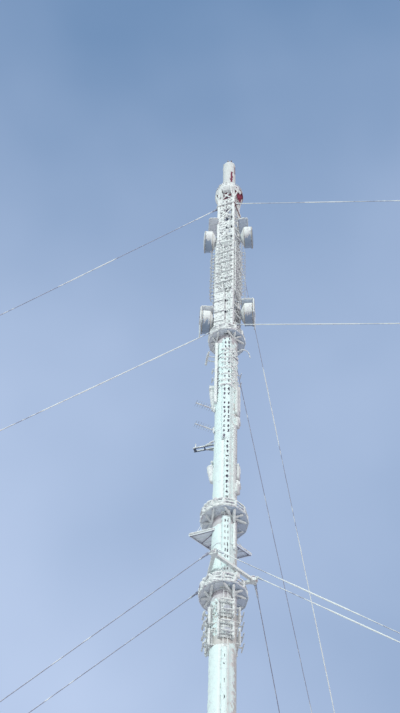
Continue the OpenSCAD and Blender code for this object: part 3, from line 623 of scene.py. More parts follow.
def new_group(name, inputs, outputs):
    """Shader node group with number inputs and named outputs, and its end nodes."""
    tree = bpy.data.node_groups.new(name, "ShaderNodeTree")
    for label, value in inputs.items():
        socket = tree.interface.new_socket(
            name=label, in_out="INPUT", socket_type="NodeSocketFloat"
        )
        socket.default_value = value
    for label, kind in outputs.items():
        tree.interface.new_socket(name=label, in_out="OUTPUT", socket_type=kind)
    return tree, tree.nodes.new("NodeGroupInput"), tree.nodes.new("NodeGroupOutput")


def use_group(tree, name, inputs):
    """Places a shader group in a material."""
    return plug(tree, "ShaderNodeGroup", inputs, node_tree=bpy.data.node_groups[name])


def rime_cover_group():
    """Mask, colour and height of rime that grows into the wind and leaves the lee bare, its colour
    darkened on the lee by painted shade.
    """
    settings = bpy.context.scene.mast_rime
    tree, given, out = new_group(
        "Rime cover", {"Amount": 0.5, "Lumps": 60.0},
        {"Cover": "NodeSocketFloat", "Colour": "NodeSocketColor", "Height": "NodeSocketFloat"},
    )
    coords = plug(tree, "ShaderNodeTexCoord").outputs
    into_wind = dot(tree, coords["Normal"], polar(1.0, settings.wind, 0.22))
    large = speckle(tree, coords["Object"], 9.0, 5.0, 0.65)
    small = speckle(tree, coords["Object"], given.outputs["Lumps"], 6.0, 0.7)
    uneven = plus(
        tree, times(tree, less(tree, large, 0.5), 1.5), times(tree, less(tree, small, 0.5), 1.1)
    )
    reach = plus(
        tree, times(tree, into_wind, 0.8),
        less(tree, times(tree, given.outputs["Amount"], 2.6), 1.3),
    )
    cover = between(tree, plus(tree, reach, uneven), -0.16, 0.20)
    # Painted shade: the rime's colour falls to the shade colour on the lee side, away from the
    # wind and the key lamp, and in the hollows of its fine lumps
    lit = between(tree, plus(tree, into_wind, times(tree, small, 0.9)), -0.50, 0.45)
    settle(tree, out, {
        "Cover": cover,
        "Colour": blend_colours(tree, lit, tuple(settings.shade), HOAR),
        "Height": times(tree, cover, plus(tree, 0.45, small)),
    })


def weather_group():
    """Streaks that run down, blotches and fine grain of weathered paint and zinc."""
    names = ("Streak", "Blotch", "Grain")
    tree, given, out = new_group(
        "Weather", {"Streaks": 0.5, "Grain": 180.0}, dict.fromkeys(names, "NodeSocketFloat")
    )
    place = place_of(tree)
    runs = speckle(tree, stretched(tree, place, (38.0, 38.0, 1.3)), 1.0, 5.0, 0.7)
    settle(tree, out, {
        "Streak": times(tree, between(tree, runs, 0.52, 0.78), given.outputs["Streaks"]),
        "Blotch": between(tree, speckle(tree, place, 5.0, 6.0, 0.65), 0.42, 0.72),
        "Grain": speckle(tree, place, given.outputs["Grain"], 3.0, 0.55),
    })


def new_material(name):
    """Material with a Principled shader, and its tree."""
    material = bpy.data.materials.new(name)
    material.use_nodes = True
    tree = material.node_tree
    return material, tree, tree.nodes["Principled BSDF"]


def weathered_material(name, streaks, grain):
    """Material with its tree, its shader and a weather group."""
    material, tree, shader = new_material(name)
    weather = use_group(tree, "Weather", {"Streaks": streaks, "Grain": grain})
    return material, tree, shader, weather.outputs


def finish_surface(tree, shader, colour, rough, height, distance=0.004, strength=0.6):
    """Plugs colour, roughness and bump into a shader."""
    bump = plug(
        tree, "ShaderNodeBump", {"Height": height, "Strength": strength, "Distance": distance}
    )
    settle(tree, shader, {
        "Base Color": colour, "Roughness": rough, "Normal": bump.outputs["Normal"],
    })


def rimed_surface(tree, shader, weather, colour, rough, amount, lumps, depth=0.006):
    """A base finish with rime over it."""
    cover = use_group(tree, "Rime cover", {"Amount": amount, "Lumps": lumps}).outputs
    seen = blend_colours(tree, cover["Cover"], colour, cover["Colour"])
    dull = plus(tree, times(tree, cover["Cover"], 0.9 - rough), rough)
    height = plus(tree, cover["Height"], times(tree, weather["Grain"], 0.06))
    finish_surface(tree, shader, seen, dull, height, depth)


def aged_colour(tree, weather, clean, dirty, stain):
    """A colour with blotches of a second one and streaks of a third."""
    base = blend_colours(tree, times(tree, weather["Blotch"], 0.55), clean, dirty)
    return blend_colours(tree, weather["Streak"], base, stain)


def darker(colour, share):
    """The colour with its brightness times a share."""
    return (colour[0] * share, colour[1] * share, colour[2] * share, 1.0)


def coated(name, base, stain, amount, lumps=80.0, dirt=0.7, rough=0.45, streaks=0.4, grain=240.0,
           depth=0.006, metallic=0.0):
    """A weathered finish of one colour with rime over it."""
    material, tree, shader, weather = weathered_material(name, streaks, grain)
    colour = aged_colour(tree, weather, base, darker(base, dirt), stain)
    rimed_surface(tree, shader, weather, colour, rough, amount, lumps, depth)
    shader.inputs["Metallic"].default_value = metallic
    return material


def painted_tube(paint):
    """White tube: rimed into the wind, bare on the lee, under the decks and at the dipoles, with
    painted deck shadow darkening the paint under each deck.
    """
    material, tree, shader, weather = weathered_material("Painted tube", 0.45, 220.0)
    height = z_of(tree, place_of(tree))
    bare = in_bands(tree, height, [
        (low - 0.02, low + 0.04, high, high + 0.02)
        for low, high in BARE_HEIGHTS + ((LOWER_DECK - 0.80, LOWER_DECK),)
    ])
    amount = less(tree, 0.50, times(tree, bare, 0.52))
    white = tuple(paint.white)
    colour = aged_colour(tree, weather, white, darker(white, 0.8), (0.36, 0.30, 0.30, 1.0))
    # Painted shadow: the paint turns grey in a band under each deck, where the deck's shadow falls
    shaded = in_bands(tree, height, [
        (deck - 0.24, deck - 0.10, deck, deck + 0.01)
        for deck in (LOWER_DECK, MID_DECK, UPPER_DECK)
    ])
    colour = blend_colours(tree, times(tree, shaded, 0.8), colour, (0.60, 0.575, 0.61, 1.0))
    rimed_surface(tree, shader, weather, colour, 0.5, amount, 45.0)
    return material


def painted_steel(paint):
    """White painted steelwork with rime on most of it."""
    return coated("Painted steel", tuple(paint.white), (0.34, 0.24, 0.22, 1.0), 0.66, 90.0,
                  dirt=0.72, rough=0.5, streaks=0.5, grain=260.0)


def red_paint(paint):
    """Dark red paint of the head with rime into the wind."""
    return coated("Red paint", tuple(paint.red), OLD_RED, 0.34, dirt=0.6)


def red_lightened_for_shade(paint):
    """Lighter red of the head platform's underside, painted light: brighter than the head's red
    paint because the underside sits in shade.
    """
    return coated("Red lightened for shade", (0.52, 0.095, 0.165, 1.0), OLD_RED, 0.10, dirt=0.6)


def head_cover(paint):
    """Cover of the top aerial: dark red where its crust of rime has split."""
    return coated("Head cover", tuple(paint.red), OLD_RED, 0.24, 50.0, dirt=0.65, rough=0.4)


def slate_frame(paint):
    """Dark blue-grey beams and rods with rime into the wind."""
    return coated("Slate frame", (0.085, 0.11, 0.17, 1.0), (0.20, 0.14, 0.12, 1.0), 0.36, 110.0,
                  rough=0.4)


def slate_box(paint):
    """Dark grey feeder boxes."""
    return coated("Slate box", (0.10, 0.115, 0.15, 1.0), (0.22, 0.15, 0.12, 1.0), 0.30,
                  dirt=0.65, rough=0.4)


def slate_plate(paint):
    """Grey-blue boxes of the lower aerial, with patches of hoar."""
    return coated("Slate plate", (0.52, 0.54, 0.60, 1.0), (0.30, 0.27, 0.30, 1.0), 0.24, 70.0,
                  rough=0.5)


def tan_rim(paint):
    """Buff sealing band on the rims of the drums."""
    return coated("Tan rim", (0.50, 0.40, 0.27, 1.0), (0.28, 0.17, 0.10, 1.0), 0.30, 110.0,
                  rough=0.55)


def frosted(paint):
    """Steelwork under an even coat of hoar, with grey showing in its joints."""
    return coated("Frosted steel", (0.62, 0.63, 0.64, 1.0), (0.40, 0.36, 0.36, 1.0), 0.74, 120.0,
                  rough=0.8)


def aerial_metal(paint):
    """Dark metal of the dipoles and screens under rime."""
    return coated("Aerial metal", tuple(paint.dipole), (0.22, 0.17, 0.17, 1.0), 0.70, 120.0,
                  rough=0.4, streaks=0.3, grain=300.0, depth=0.003)


def plain_steel(paint):
    """Galvanised steel of the bearing and the anchors."""
    return coated("Plain steel", tuple(paint.zinc), (0.24, 0.13, 0.08, 1.0), 0.30, 60.0,
                  dirt=0.6, streaks=0.5, grain=150.0, depth=0.003, metallic=0.4)


def guy_rope(paint):
    """Grey stranded rope with rime into the wind."""
    return coated("Guy rope", (0.27, 0.28, 0.38, 1.0), (0.24, 0.19, 0.20, 1.0), 0.26, 130.0,
                  rough=0.5, streaks=0.2, grain=500.0, depth=0.003)


def dipole_poles(paint):
    """Lower aerial: hoar on the poles near the tube, dark metal out at the dipoles."""
    material, tree, shader, weather = weathered_material("Dipole poles", 0.3, 300.0)
    flat = plug(tree, "ShaderNodeVectorMath", {0: place_of(tree), 1: (1.0, 1.0, 0.0)},
                operation="MULTIPLY").outputs["Vector"]
    reach = plug(tree, "ShaderNodeVectorMath", {0: flat}, operation="LENGTH").outputs["Value"]
    pale = aged_colour(tree, weather, (0.70, 0.69, 0.68, 1.0), (0.60, 0.57, 0.58, 1.0),
                       (0.45, 0.40, 0.40, 1.0))
    far = between(tree, reach, 0.170, 0.195)
    colour = blend_colours(tree, far, pale, tuple(paint.dipole))
    rimed_surface(tree, shader, weather, colour, 0.5, 0.62, 120.0, 0.003)
    return material


def deck_plate(name, zinc):
    """Galvanised plate: spangled grey below, rimed on top and along its windward edge, and paler
    on one side from painted light with a little frost.
    """
    material, tree, shader, weather = weathered_material(name, 0.2, 240.0)
    place = place_of(tree)
    spangle = times(tree, between(tree, cells(tree, place, 90.0), 0.2, 0.8), 0.35)
    # Painted light: the plate turns paler on its side towards azimuth 240, standing in for light
    # thrown up onto that side, with a haze of frost in it
    bounce_light_and_frost = plus(tree, dot(tree, place, polar(1.0, 240.0)),
                 times(tree, speckle(tree, place, 11.0), 0.10))
    bounce_light_and_frost = times(tree, between(tree, bounce_light_and_frost, -0.02, 0.20), 0.48)
    colour = aged_colour(tree, weather, zinc, darker(zinc, 0.78), darker(zinc, 0.55))
    colour = blend_colours(tree, spangle, colour, darker(zinc, 1.25))
    colour = blend_colours(tree, bounce_light_and_frost, colour, (0.93, 0.91, 0.90, 1.0))
    rimed_surface(tree, shader, weather, colour, 0.55, 0.42, 70.0, 0.004)
    shader.inputs["Metallic"].default_value = 0.15
    return material


def deck_steel(paint):
    """Galvanised plate of the round decks and the ice shields."""
    return deck_plate("Deck steel", tuple(paint.zinc))


def rear_plate(paint):
    """Paler copy of the deck plate for the rear platform: painted light that lifts its shaded
    underside.
    """
    return deck_plate("Rear plate", darker(tuple(paint.zinc), 1.25))


def drum_shell(paint):
    """Slate drum with a haze of rime over its upper part."""
    material, tree, shader, weather = weathered_material("Drum shell", 0.4, 200.0)
    up = z_of(tree, plug(tree, "ShaderNodeTexCoord").outputs["Normal"])
    amount = plus(tree, 0.16, times(tree, between(tree, up, -0.35, 0.30), 0.85))
    slate = tuple(paint.slate)
    colour = aged_colour(tree, weather, slate, darker(slate, 0.7), (0.22, 0.18, 0.17, 1.0))
    rimed_surface(tree, shader, weather, colour, 0.42, amount, 60.0)
    return material


def concrete(paint):
    """Concrete with pores, stains and a damp foot."""
    material, tree, shader, weather = weathered_material("Concrete", 0.6, 120.0)
    place = place_of(tree)
    damp = times(tree, between(tree, z_of(tree, place), 0.05, 0.0), 0.5)
    colour = aged_colour(tree, weather, (0.42, 0.41, 0.38, 1.0), (0.30, 0.29, 0.27, 1.0),
                         (0.20, 0.18, 0.15, 1.0))
    colour = blend_colours(tree, damp, colour, (0.15, 0.15, 0.13, 1.0))
    pores = times(tree, between(tree, cells(tree, place, 55.0), 0.0, 0.25), 0.6)
    finish_surface(tree, shader, colour, 0.92, plus(tree, weather["Grain"], pores), 0.003)
    return material


def cable(paint):
    """Dark jacket of the feeder cables, greyed by weather and frost; its purple-grey also serves
    as painted shade behind the rime's holes and under the rear platform.
    """
    material, tree, shader, weather = weathered_material("Cable jacket", 0.25, 350.0)
    colour = aged_colour(tree, weather, (0.17, 0.14, 0.20, 1.0), (0.27, 0.24, 0.32, 1.0),
                         (0.22, 0.20, 0.21, 1.0))
    finish_surface(tree, shader, colour, 0.55, weather["Grain"], 0.001, 0.4)
    return material


def lamp_glass(name, dark, light):
    """Ribbed glass of a warning lamp."""
    material, tree, shader = new_material(name)
    rings = plug(tree, "ShaderNodeTexWave", {"Vector": place_of(tree), "Scale": 60.0},
                 bands_direction="Z").outputs["Fac"]
    finish_surface(tree, shader, blend_colours(tree, rings, dark, light), 0.18, rings, 0.002)
    shader.inputs["Coat Weight"].default_value = 0.6
    return material


def red_lamp(paint):
    """Red glass of the warning lamp at the torsion frame."""
    return lamp_glass("Red lamp", (0.35, 0.02, 0.03, 1.0), (0.62, 0.05, 0.07, 1.0))


def dim_lamp(paint):
    """Dull dark glass of the unlit lamps at the tip."""
    return lamp_glass("Dim lamp", (0.07, 0.05, 0.07, 1.0), (0.22, 0.09, 0.11, 1.0))


def crusted(name, light, shade, low, high):
    """Feathers of rime, packed in random darker patches, with painted shade underneath and in the
    bump's hollows.
    """
    material, tree, shader = new_material(name)
    coords = plug(tree, "ShaderNodeTexCoord").outputs
    place = coords["Object"]
    feathers = speckle(tree, stretched(tree, place, (1.0, 1.0, 1.5)), 60.0, 7.0, 0.72)
    packed = speckle(tree, place, 13.0, 5.0, 0.65)
    # Painted shade: the colour falls to the shade colour where the feathers sink, which are the
    # bump's hollows, and on faces that look down
    lit = plus(tree, times(tree, z_of(tree, coords["Normal"]), 0.14), feathers)
    lit = plus(tree, lit, times(tree, packed, 0.7))
    colour = blend_colours(tree, between(tree, lit, low, high), shade, light)
    height = plus(tree, feathers, times(tree, cells(tree, place, 150.0), 0.35))
    finish_surface(tree, shader, colour, 0.88, height, 0.005, 0.7)
    return material


def rime(paint):
    """Hard rime on the tube."""
    settings = bpy.context.scene.mast_rime
    return crusted("Rime", tuple(settings.light), tuple(settings.shade), 0.50, 0.84)


def hoar(paint):
    """Greyer rime of the fittings, with painted mauve shade in its hollows and underneath."""
    shade = tuple(bpy.context.scene.mast_rime.shade)
    return crusted("Hoar", HOAR, darker(shade, 0.85), 0.52, 0.84)


def soft_hoar(paint):
    """Even grey-white rime of the head's railing, the struts and the lower aerial: the hoar with a
    paler painted shade, which lifts the struts' shaded undersides.
    """
    return crusted("Soft hoar", darker(HOAR, 0.96), (0.64, 0.62, 0.65, 1.0), 0.40, 0.92)


def cover_hoar(paint):
    """Grey rime of the head's cover."""
    return crusted("Cover hoar", darker(HOAR, 0.82), (0.56, 0.555, 0.60, 1.0), 0.40, 0.92)


FINISHES = (
    rime, hoar, soft_hoar, cover_hoar, cable, painted_tube, painted_steel, red_paint, red_lightened_for_shade,
    head_cover, slate_frame, slate_box, slate_plate, tan_rim, frosted, deck_steel, rear_plate,
    drum_shell, aerial_metal, dipole_poles, plain_steel, guy_rope, concrete, red_lamp, dim_lamp,
)
MATERIALS = {}


class MAST_OT_finishes(bpy.types.Operator):
    """Makes the shared shader groups and materials, and gives each node of the frame its own"""

    bl_idname = "mast.finishes"
    bl_label = "Finishes"

    def execute(self, context):
        rime_cover_group()
        weather_group()
        for make in FINISHES:
            MATERIALS[make.__name__] = make(context.scene.mast_paint)
        finish_of = {name: finish for finish, nodes in NODE_FINISHES.items() for name in nodes}
        for name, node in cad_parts.items():
            finish = MATERIALS[finish_of.get(name, "painted_steel")]
            if not node.material_slots:
                node.data.materials.append(finish)
            for slot in node.material_slots:
                slot.material = finish
        return {"FINISHED"}


def tube_growth():
    """Growth of the tube's rime: none by the ladder or under the decks, lumps by the boxes."""
    wind = wind_from()

    def grow(place, outward):
        azimuth = math.degrees(math.atan2(outward.x, outward.y)) % 360.0
        beside = min(1.0, max(0.0, (abs(azimuth - LADDER_AZ - 6.0) - 22.0) / 4.0))
        turned = math.radians(azimuth - VIEW_AZ)
        dip = 0.12 * (1.0 - math.cos(turned)) - 0.03 * math.sin(turned)
        under = 1.0
        for low, high in BARE_HEIGHTS:
            outside = max(low + dip - place.z, place.z - high - dip)
            under = min(under, max(0.0, (outside + 0.03 * lumps(place, 0.05)) / 0.012))
        thick = 0.62 * outward.dot(wind) + 0.17 + 0.75 * lumps(place, 0.05)
        if DUCT_LOW < place.z < DUCT_TOP + 0.09 and 6.0 < abs(azimuth - DUCT_AZ) < 11.0:
            return 0.0
        if TUBE_TOP - 1.26 < place.z < TUBE_TOP - 0.31 and 88.0 < azimuth < 146.0:
            thick += 0.5 + 1.6 * max(0.0, lumps(place, 0.035))
        if LOWER_DECK - 0.75 < place.z < LOWER_DECK:
            thick = 0.25 * thick - 0.03 + 0.7 * lumps(place, 0.028)
        return max(0.0, min(1.7, thick)) * beside * under

    return grow


class MAST_OT_tube_rime(bpy.types.Operator):
    """Adds the crust of rime on the tube, with its gaps under the decks and at the dipoles"""

    bl_idname = "mast.tube_rime"
    bl_label = "Rime on the tube"

    def execute(self, context):
        depth = context.scene.mast_rime.depth
        grow = tube_growth()
        cuts = [JOINT_HEIGHTS[0] + 0.004] + JOINT_HEIGHTS[1:] + [TUBE_TOP]
        for name, low, high in zip(("bottom", "lower", "middle", "upper"), cuts, cuts[1:]):
            bm = bmesh.new()
            sleeve(bm, lift(low), lift(high), TUBE_R, depth, 60, 0.024, grow)
            if name != "bottom":
                sleeve(bm, lift(low - 0.014), lift(low + 0.014), FLANGE_R, 0.7 * depth, 60,
                       0.007, grow)
            crust(f"tube_{name}", bm, "rime")
        return {"FINISHED"}


# Crusts on the ladder: name, ends, pitch, each row's place, width and height, share of holes shut
LADDER_CRUSTS = (
    ("low", JOINT_HEIGHTS[0] + 0.11, LOWER_DECK - 0.88, 0.112, ((0.006, 0.004, 0.030),), 0.55),
    ("decks", round(LOWER_DECK + 0.03, 2), round(MID_DECK - 0.05, 2), 0.100,
     ((-0.016, 0.008, 0.026), (0.018, 0.008, 0.022)), 0.15),
    ("single", MID_DECK + 0.02, MID_DECK + 1.41, 0.096, ((0.002, 0.0145, 0.025),), 0.04),
    ("double", MID_DECK + 1.39, TUBE_TOP - 0.09, 0.098,
     ((-0.009, 0.0125, 0.030), (0.044, 0.0115, 0.025)), 0.05),
)


def ladder_crust(name, low, high, pitch, holes, shut):
    """Crust over a stretch of the ladder, with a ragged hole between most of the rungs."""
    left = holes[0][0] - 0.036
    right = holes[-1][0] + 0.036
    matrix = facing(LADDER_AZ)

    def keep(x, z):
        step = math.floor((z - low) / pitch)
        middle = low + (step + 0.5) * pitch
        ragged = 0.85 + 1.1 * noise.noise(Vector((x * 80.0, z * 45.0, 1.0)))
        for row, (hole_x, wide, tall) in enumerate(holes):
            if 0.5 + noise.noise(Vector((step * 3.7, row * 9.1, low))) < shut:
                continue
            size = 0.80 + 0.9 * noise.noise(Vector((step * 5.3, row * 4.9, 2.5)))
            drift = 0.006 * noise.noise(Vector((step * 2.9, row * 7.7, 6.5)))
            off_x = (x - hole_x - drift) / (wide * (0.8 + 0.35 * size))
            off_z = (z - middle) / (tall * (0.8 + 0.5 * size))
            if off_x * off_x + off_z * off_z < ragged:
                return False
        edge = min(x - left, right - x)
        return edge > 0.006 or noise.noise(Vector((x * 40.0, 3.0, z * 25.0))) > -0.1

    def place(x, z, deep):
        edge = min(1.0, min(x - left, right - x) / 0.018)
        end = min(1.0, (z - low) / 0.05, (high - z) / 0.05)
        reach = 0.164 + deep - 0.022 * (1.0 - edge) ** 1.5 - 0.012 * (1.0 - end)
        return matrix @ Vector((x, math.sqrt(reach * reach - x * x), z))

    bm = bmesh.new()
    sheet(bm, spread(left, right, 0.0065), spread(low, high, 0.0145), keep, place, 0.006, 0.006,
          0.022)
    crust(f"ladder_{name}", bm, "rime")


class MAST_OT_ladder(bpy.types.Operator):
    """Adds the cables behind the ladder and the crust of rime that shuts most of its bays"""

    bl_idname = "mast.ladder"
    bl_label = "Ladder and cables"

    def execute(self, context):
        matrix = facing(LADDER_AZ)
        # The cables' dark backs the holes in the crust: partly real feeders, partly painted shade
        # that makes the holes read deep
        cables = bmesh.new()
        for name, low, high, pitch, holes, shut in LADDER_CRUSTS:
            for x, _, _ in holes:
                for step in (-1, 0, 1):
                    run = bar_up(matrix, x + step * 0.0105, 0.147, low + 0.01, high - 0.01)
                    add_rod(cables, *run, 0.0055, 8)
            ladder_crust(name, low, high, pitch, holes, shut)
        piece("ladder_cables", cables, "cable")
        return {"FINISHED"}


def lattice_rime():
    """Crusts on the legs and braces, thickest on the faces into the wind."""
    legs, braces = bmesh.new(), bmesh.new()
    grow = wind_growth(0.46, 0.035)
    middle = LEG_HALF - 0.013
    reach = middle - 0.012
    for k in range(4):
        corner = facing(90 * k) @ Vector((middle, middle, 0.0))
        sleeve(legs, corner + lift(UPPER_DECK), corner + lift(HEAD_Z - 0.02), 0.0130, 0.011, 12,
               0.016, grow, True)
    for azimuth, thick in ((180, 0.013), (270, 0.011), (90, 0.006), (0, 0.004)):
        matrix = facing(azimuth)
        for bay in range(BAYS):
            low = BAY_LOW + bay * BAY_H
            high = low + BAY_H - 0.003
            for x, first, last in ((-reach, low, high), (reach, low, high), (-reach, high, high)):
                ends = span(matrix, (x, middle, first), (-x, middle, last))
                sleeve(braces, *ends, 0.0052, thick, 6, 0.018, grow)
    crust("lattice_legs", legs)
    crust("lattice_braces", braces)


def lattice_gussets():
    """Plates with three bolts each where the braces meet the legs."""
    bm = bmesh.new()
    middle = LEG_HALF - 0.034
    for k in range(4):
        matrix = facing(90 * k)
        for bay in range(BAYS + 1):
            z = min(BAY_LOW + bay * BAY_H, HEAD_Z - 0.04)
            for side in (-1, 1):
                add_block(bm, (0.050, 0.004, 0.062),
                          at(matrix, side * middle, LEG_HALF - 0.0035, z), 0.001)
                for dx, dz in ((0.006, 0.018), (0.006, -0.018), (-0.014, 0.0)):
                    bolt = bar_out(matrix, side * (middle + dx), LEG_HALF - 0.002,
                                   LEG_HALF + 0.0025, z + dz)
                    add_rod(bm, *bolt, 0.0034, 6)
    piece("lattice_gussets", bm, "painted_steel")


def lattice_ladder():
    """Ladder inside the lattice's rear face."""
    bm = bmesh.new()
    stiles = (0.030, 0.080)
    for x in stiles:
        add_block(bm, (0.005, 0.005, HEAD_Z - UPPER_DECK - 0.02),
                  Matrix.Translation((x, INSIDE, (UPPER_DECK + HEAD_Z) / 2)))
    for z in spread(UPPER_DECK + 0.05, HEAD_Z - 0.05, 0.056):
        add_rod(bm, *[(x, INSIDE, z) for x in stiles], 0.0022, 6)
    piece("lattice_ladder", bm, "painted_steel")


def lattice_cables():
    """Feeder cables that run up two faces to the screens' tiers and to the head."""
    # Their dark jacket fills the lattice behind the screens' holes: partly real feeders, partly
    # painted shade seen through the holes
    bm = bmesh.new()
    top = SCREENS_TOP + 0.10
    low = UPPER_DECK - 0.005
    across = INSIDE + 0.020
    for k in range(11):
        x = -0.100 + 0.0195 * k
        high = HEAD_Z - DECK_T if k % 4 == 1 else top - 0.16 * (k % 3)
        add_rod(bm, (x, across, low), (x, across, high), 0.0085, 10)
    for k in range(8):
        y = -0.068 + 0.0195 * k
        add_rod(bm, (across, y, low), (across, y, top - 0.22 * (k % 3)), 0.0085, 10)
    piece("lattice_cables", bm, "cable")


def feed_stubs():
    """Feeder stubs through the front face, each with a ring of rime."""
    stubs, icy = bmesh.new(), bmesh.new()
    grow = wind_growth(0.75, 0.02)
    for bay in range(1, BAYS - 2):
        z = UPPER_DECK + bay * BAY_H - 0.035
        for x in (0.020, 0.092):
            add_rod(stubs, (x, INSIDE, z), (x, -LEG_HALF - 0.048, z + 0.004), 0.0135, 12)

            def rim(k):
                turn = math.radians(45 * k)
                return Vector((x + 0.020 * math.cos(turn), -LEG_HALF - 0.040,
                               z + 0.020 * math.sin(turn)))

            for ends in steps(8, rim):
                sleeve(icy, *ends, 0.004, 0.008, 6, 0.006, grow)
    piece("lattice_feed_stubs", stubs, "slate_box")
    crust("feed_stubs", icy)


def lattice_crusts():
    """Ragged sheets of rime above the screens."""
    rows = spread(SCREENS_TOP + 0.01, HEAD_Z - 0.34, 0.0125)
    for name, azimuth, more in (("front", 180, 0.0), ("left", 270, 0.08)):

        def keep(x, z):
            above = z - SCREENS_TOP
            thin = 0.34 if 0.70 < above < 1.10 and -0.10 < x < 0.03 else 0.0
            edge = -0.25 if abs(x) > 0.098 else 0.0
            return lumps(Vector((x, azimuth, z * 1.3)), 0.030) > -0.06 + more + thin + edge

        bm = bmesh.new()
        sheet(bm, spread(-0.126, 0.126, 0.0115), rows, keep,
              on_face(facing(azimuth), LEG_HALF + 0.006), 0.010, 0.010)
        crust(f"lattice_{name}", bm)


def lattice_low_crust():
    """Crust on the front face below the screens, with two rows of upright slots."""
    low = UPPER_DECK + 0.02

    def keep(x, z):
        off = abs((z - low) / 0.100 % 1.0 - 0.5)
        slot = off < 0.28 and abs(x + 0.044) < 0.006 or off < 0.22 and abs(x + 0.085) < 0.006
        return not slot and lumps(Vector((x, 5.0, z)), 0.028) > -0.34

    bm = bmesh.new()
    sheet(bm, spread(-0.100, -0.006, 0.0085), spread(low, SCREENS_LOW, 0.0125), keep,
          on_face(facing(180), LEG_HALF + 0.010), 0.010, 0.010)
    crust("lattice_low", bm)


class MAST_OT_lattice(bpy.types.Operator):
    """Adds rime on the lattice, its gusset plates, the inner ladder and the feeder cables"""

    bl_idname = "mast.lattice"
    bl_label = "Lattice"

    def execute(self, context):
        lattice_rime()
        lattice_gussets()
        lattice_ladder()
        lattice_cables()
        feed_stubs()
        lattice_crusts()
        lattice_low_crust()
        return {"FINISHED"}


def screen_crusts():
    """Ragged sheets of rime over the screens, thicker along their posts and bars."""
    for name, azimuth, holes in (("front", 180, -0.02), ("left", 270, 0.06), ("right", 90, 0.34)):

        def keep(x, z):
            tier = (SCREENS_TOP - z) / TIER_H % 1.0
            post = abs(x) > 0.108 or abs(x - 0.022) < 0.008 or abs(x + 0.056) < 0.008
            bar = tier < 0.10 or abs(tier - 0.36) < 0.05 or abs(tier - 0.68) < 0.05
            lump = lumps(Vector((x * 1.2, 2.0 * azimuth, z)), 0.030)
            return lump > holes - (0.42 if post else 0.22 if bar else 0.0)

        bm = bmesh.new()
        sheet(bm, spread(-0.134, 0.134, 0.0116), spread(SCREENS_LOW, SCREENS_TOP, 0.0125), keep,
              on_face(facing(azimuth), 0.1555), 0.010, 0.009, 0.018)
        crust(f"screen_{name}", bm)


def dipole_crusts():
    """Rime on the screens' bars, their dipoles and the arms that carry them."""
    for name, azimuth, depth in (("front", 180, 0.010), ("left", 270, 0.012),
                                 ("right", 90, 0.004), ("back", 0, 0.002)):
        matrix = facing(azimuth)
        bm = bmesh.new()
        grow = wind_growth(0.42, 0.022)
        for tier in range(TIERS):
            z = SCREENS_TOP - tier * TIER_H - 0.010
            sleeve(bm, *bar_across(matrix, -0.134, 0.134, 0.168, z), 0.006, 1.3 * depth, 8, 0.011,
                   grow)
            for row in range(3):
                z = SCREENS_TOP - (tier + (row + 0.5) / 3.0) * TIER_H + 0.0025
                for x in (-0.068, 0.068):
                    sleeve(bm, *bar_across(matrix, x - 0.044, x + 0.044, 0.2335, z), 0.0032,
                           depth, 6, 0.011, grow)
                    sleeve(bm, *bar_out(matrix, x, 0.150, 0.233, z), 0.0032, 0.7 * depth, 6,
                           0.014, grow)
        crust(f"dipoles_{name}", bm)


def cover_crusts():
    """Rime on the covers below the screens, with rows of dots left bare."""
    for name, azimuth, edge in (("front", 180, -0.16), ("back", 0, 0.35)):
        matrix = facing(azimuth)
        bm = bmesh.new()
        for above in (0.012, 0.282, 0.525, 0.802, 1.047):
            z = COVERS_LOW + above
            for left, right in ((-0.010, 0.132), (-0.132, -0.100)):
                sleeve(bm, *span(matrix, (left, 0.180, z), (right, 0.180, z + 0.012)), 0.004,
                       0.009, 7, 0.010, wind_growth(0.5, 0.02))
        for low in (COVERS_LOW, COVERS_LOW + 0.533):

            def keep(x, z):
                dotted = abs((z - low) % 0.19 - 0.15) < 0.018 and abs(x % 0.045 - 0.03) < 0.009
                return lumps(Vector((x, azimuth, z)), 0.028) > edge and not dotted

            for left, right in ((-0.010, 0.134), (-0.134, -0.096)):
                sheet(bm, spread(left, right, 0.0105), spread(low, low + 0.517, 0.0115), keep,
                      on_face(matrix, 0.1775), 0.007, 0.009)
        crust(f"covers_{name}", bm)


class MAST_OT_screens(bpy.types.Operator):
    """Adds rime on the dipole screens, on their dipoles and on the cover panels"""

    bl_idname = "mast.screens"
    bl_label = "Screens"

    def execute(self, context):
        screen_crusts()
        dipole_crusts()
        cover_crusts()
        return {"FINISHED"}


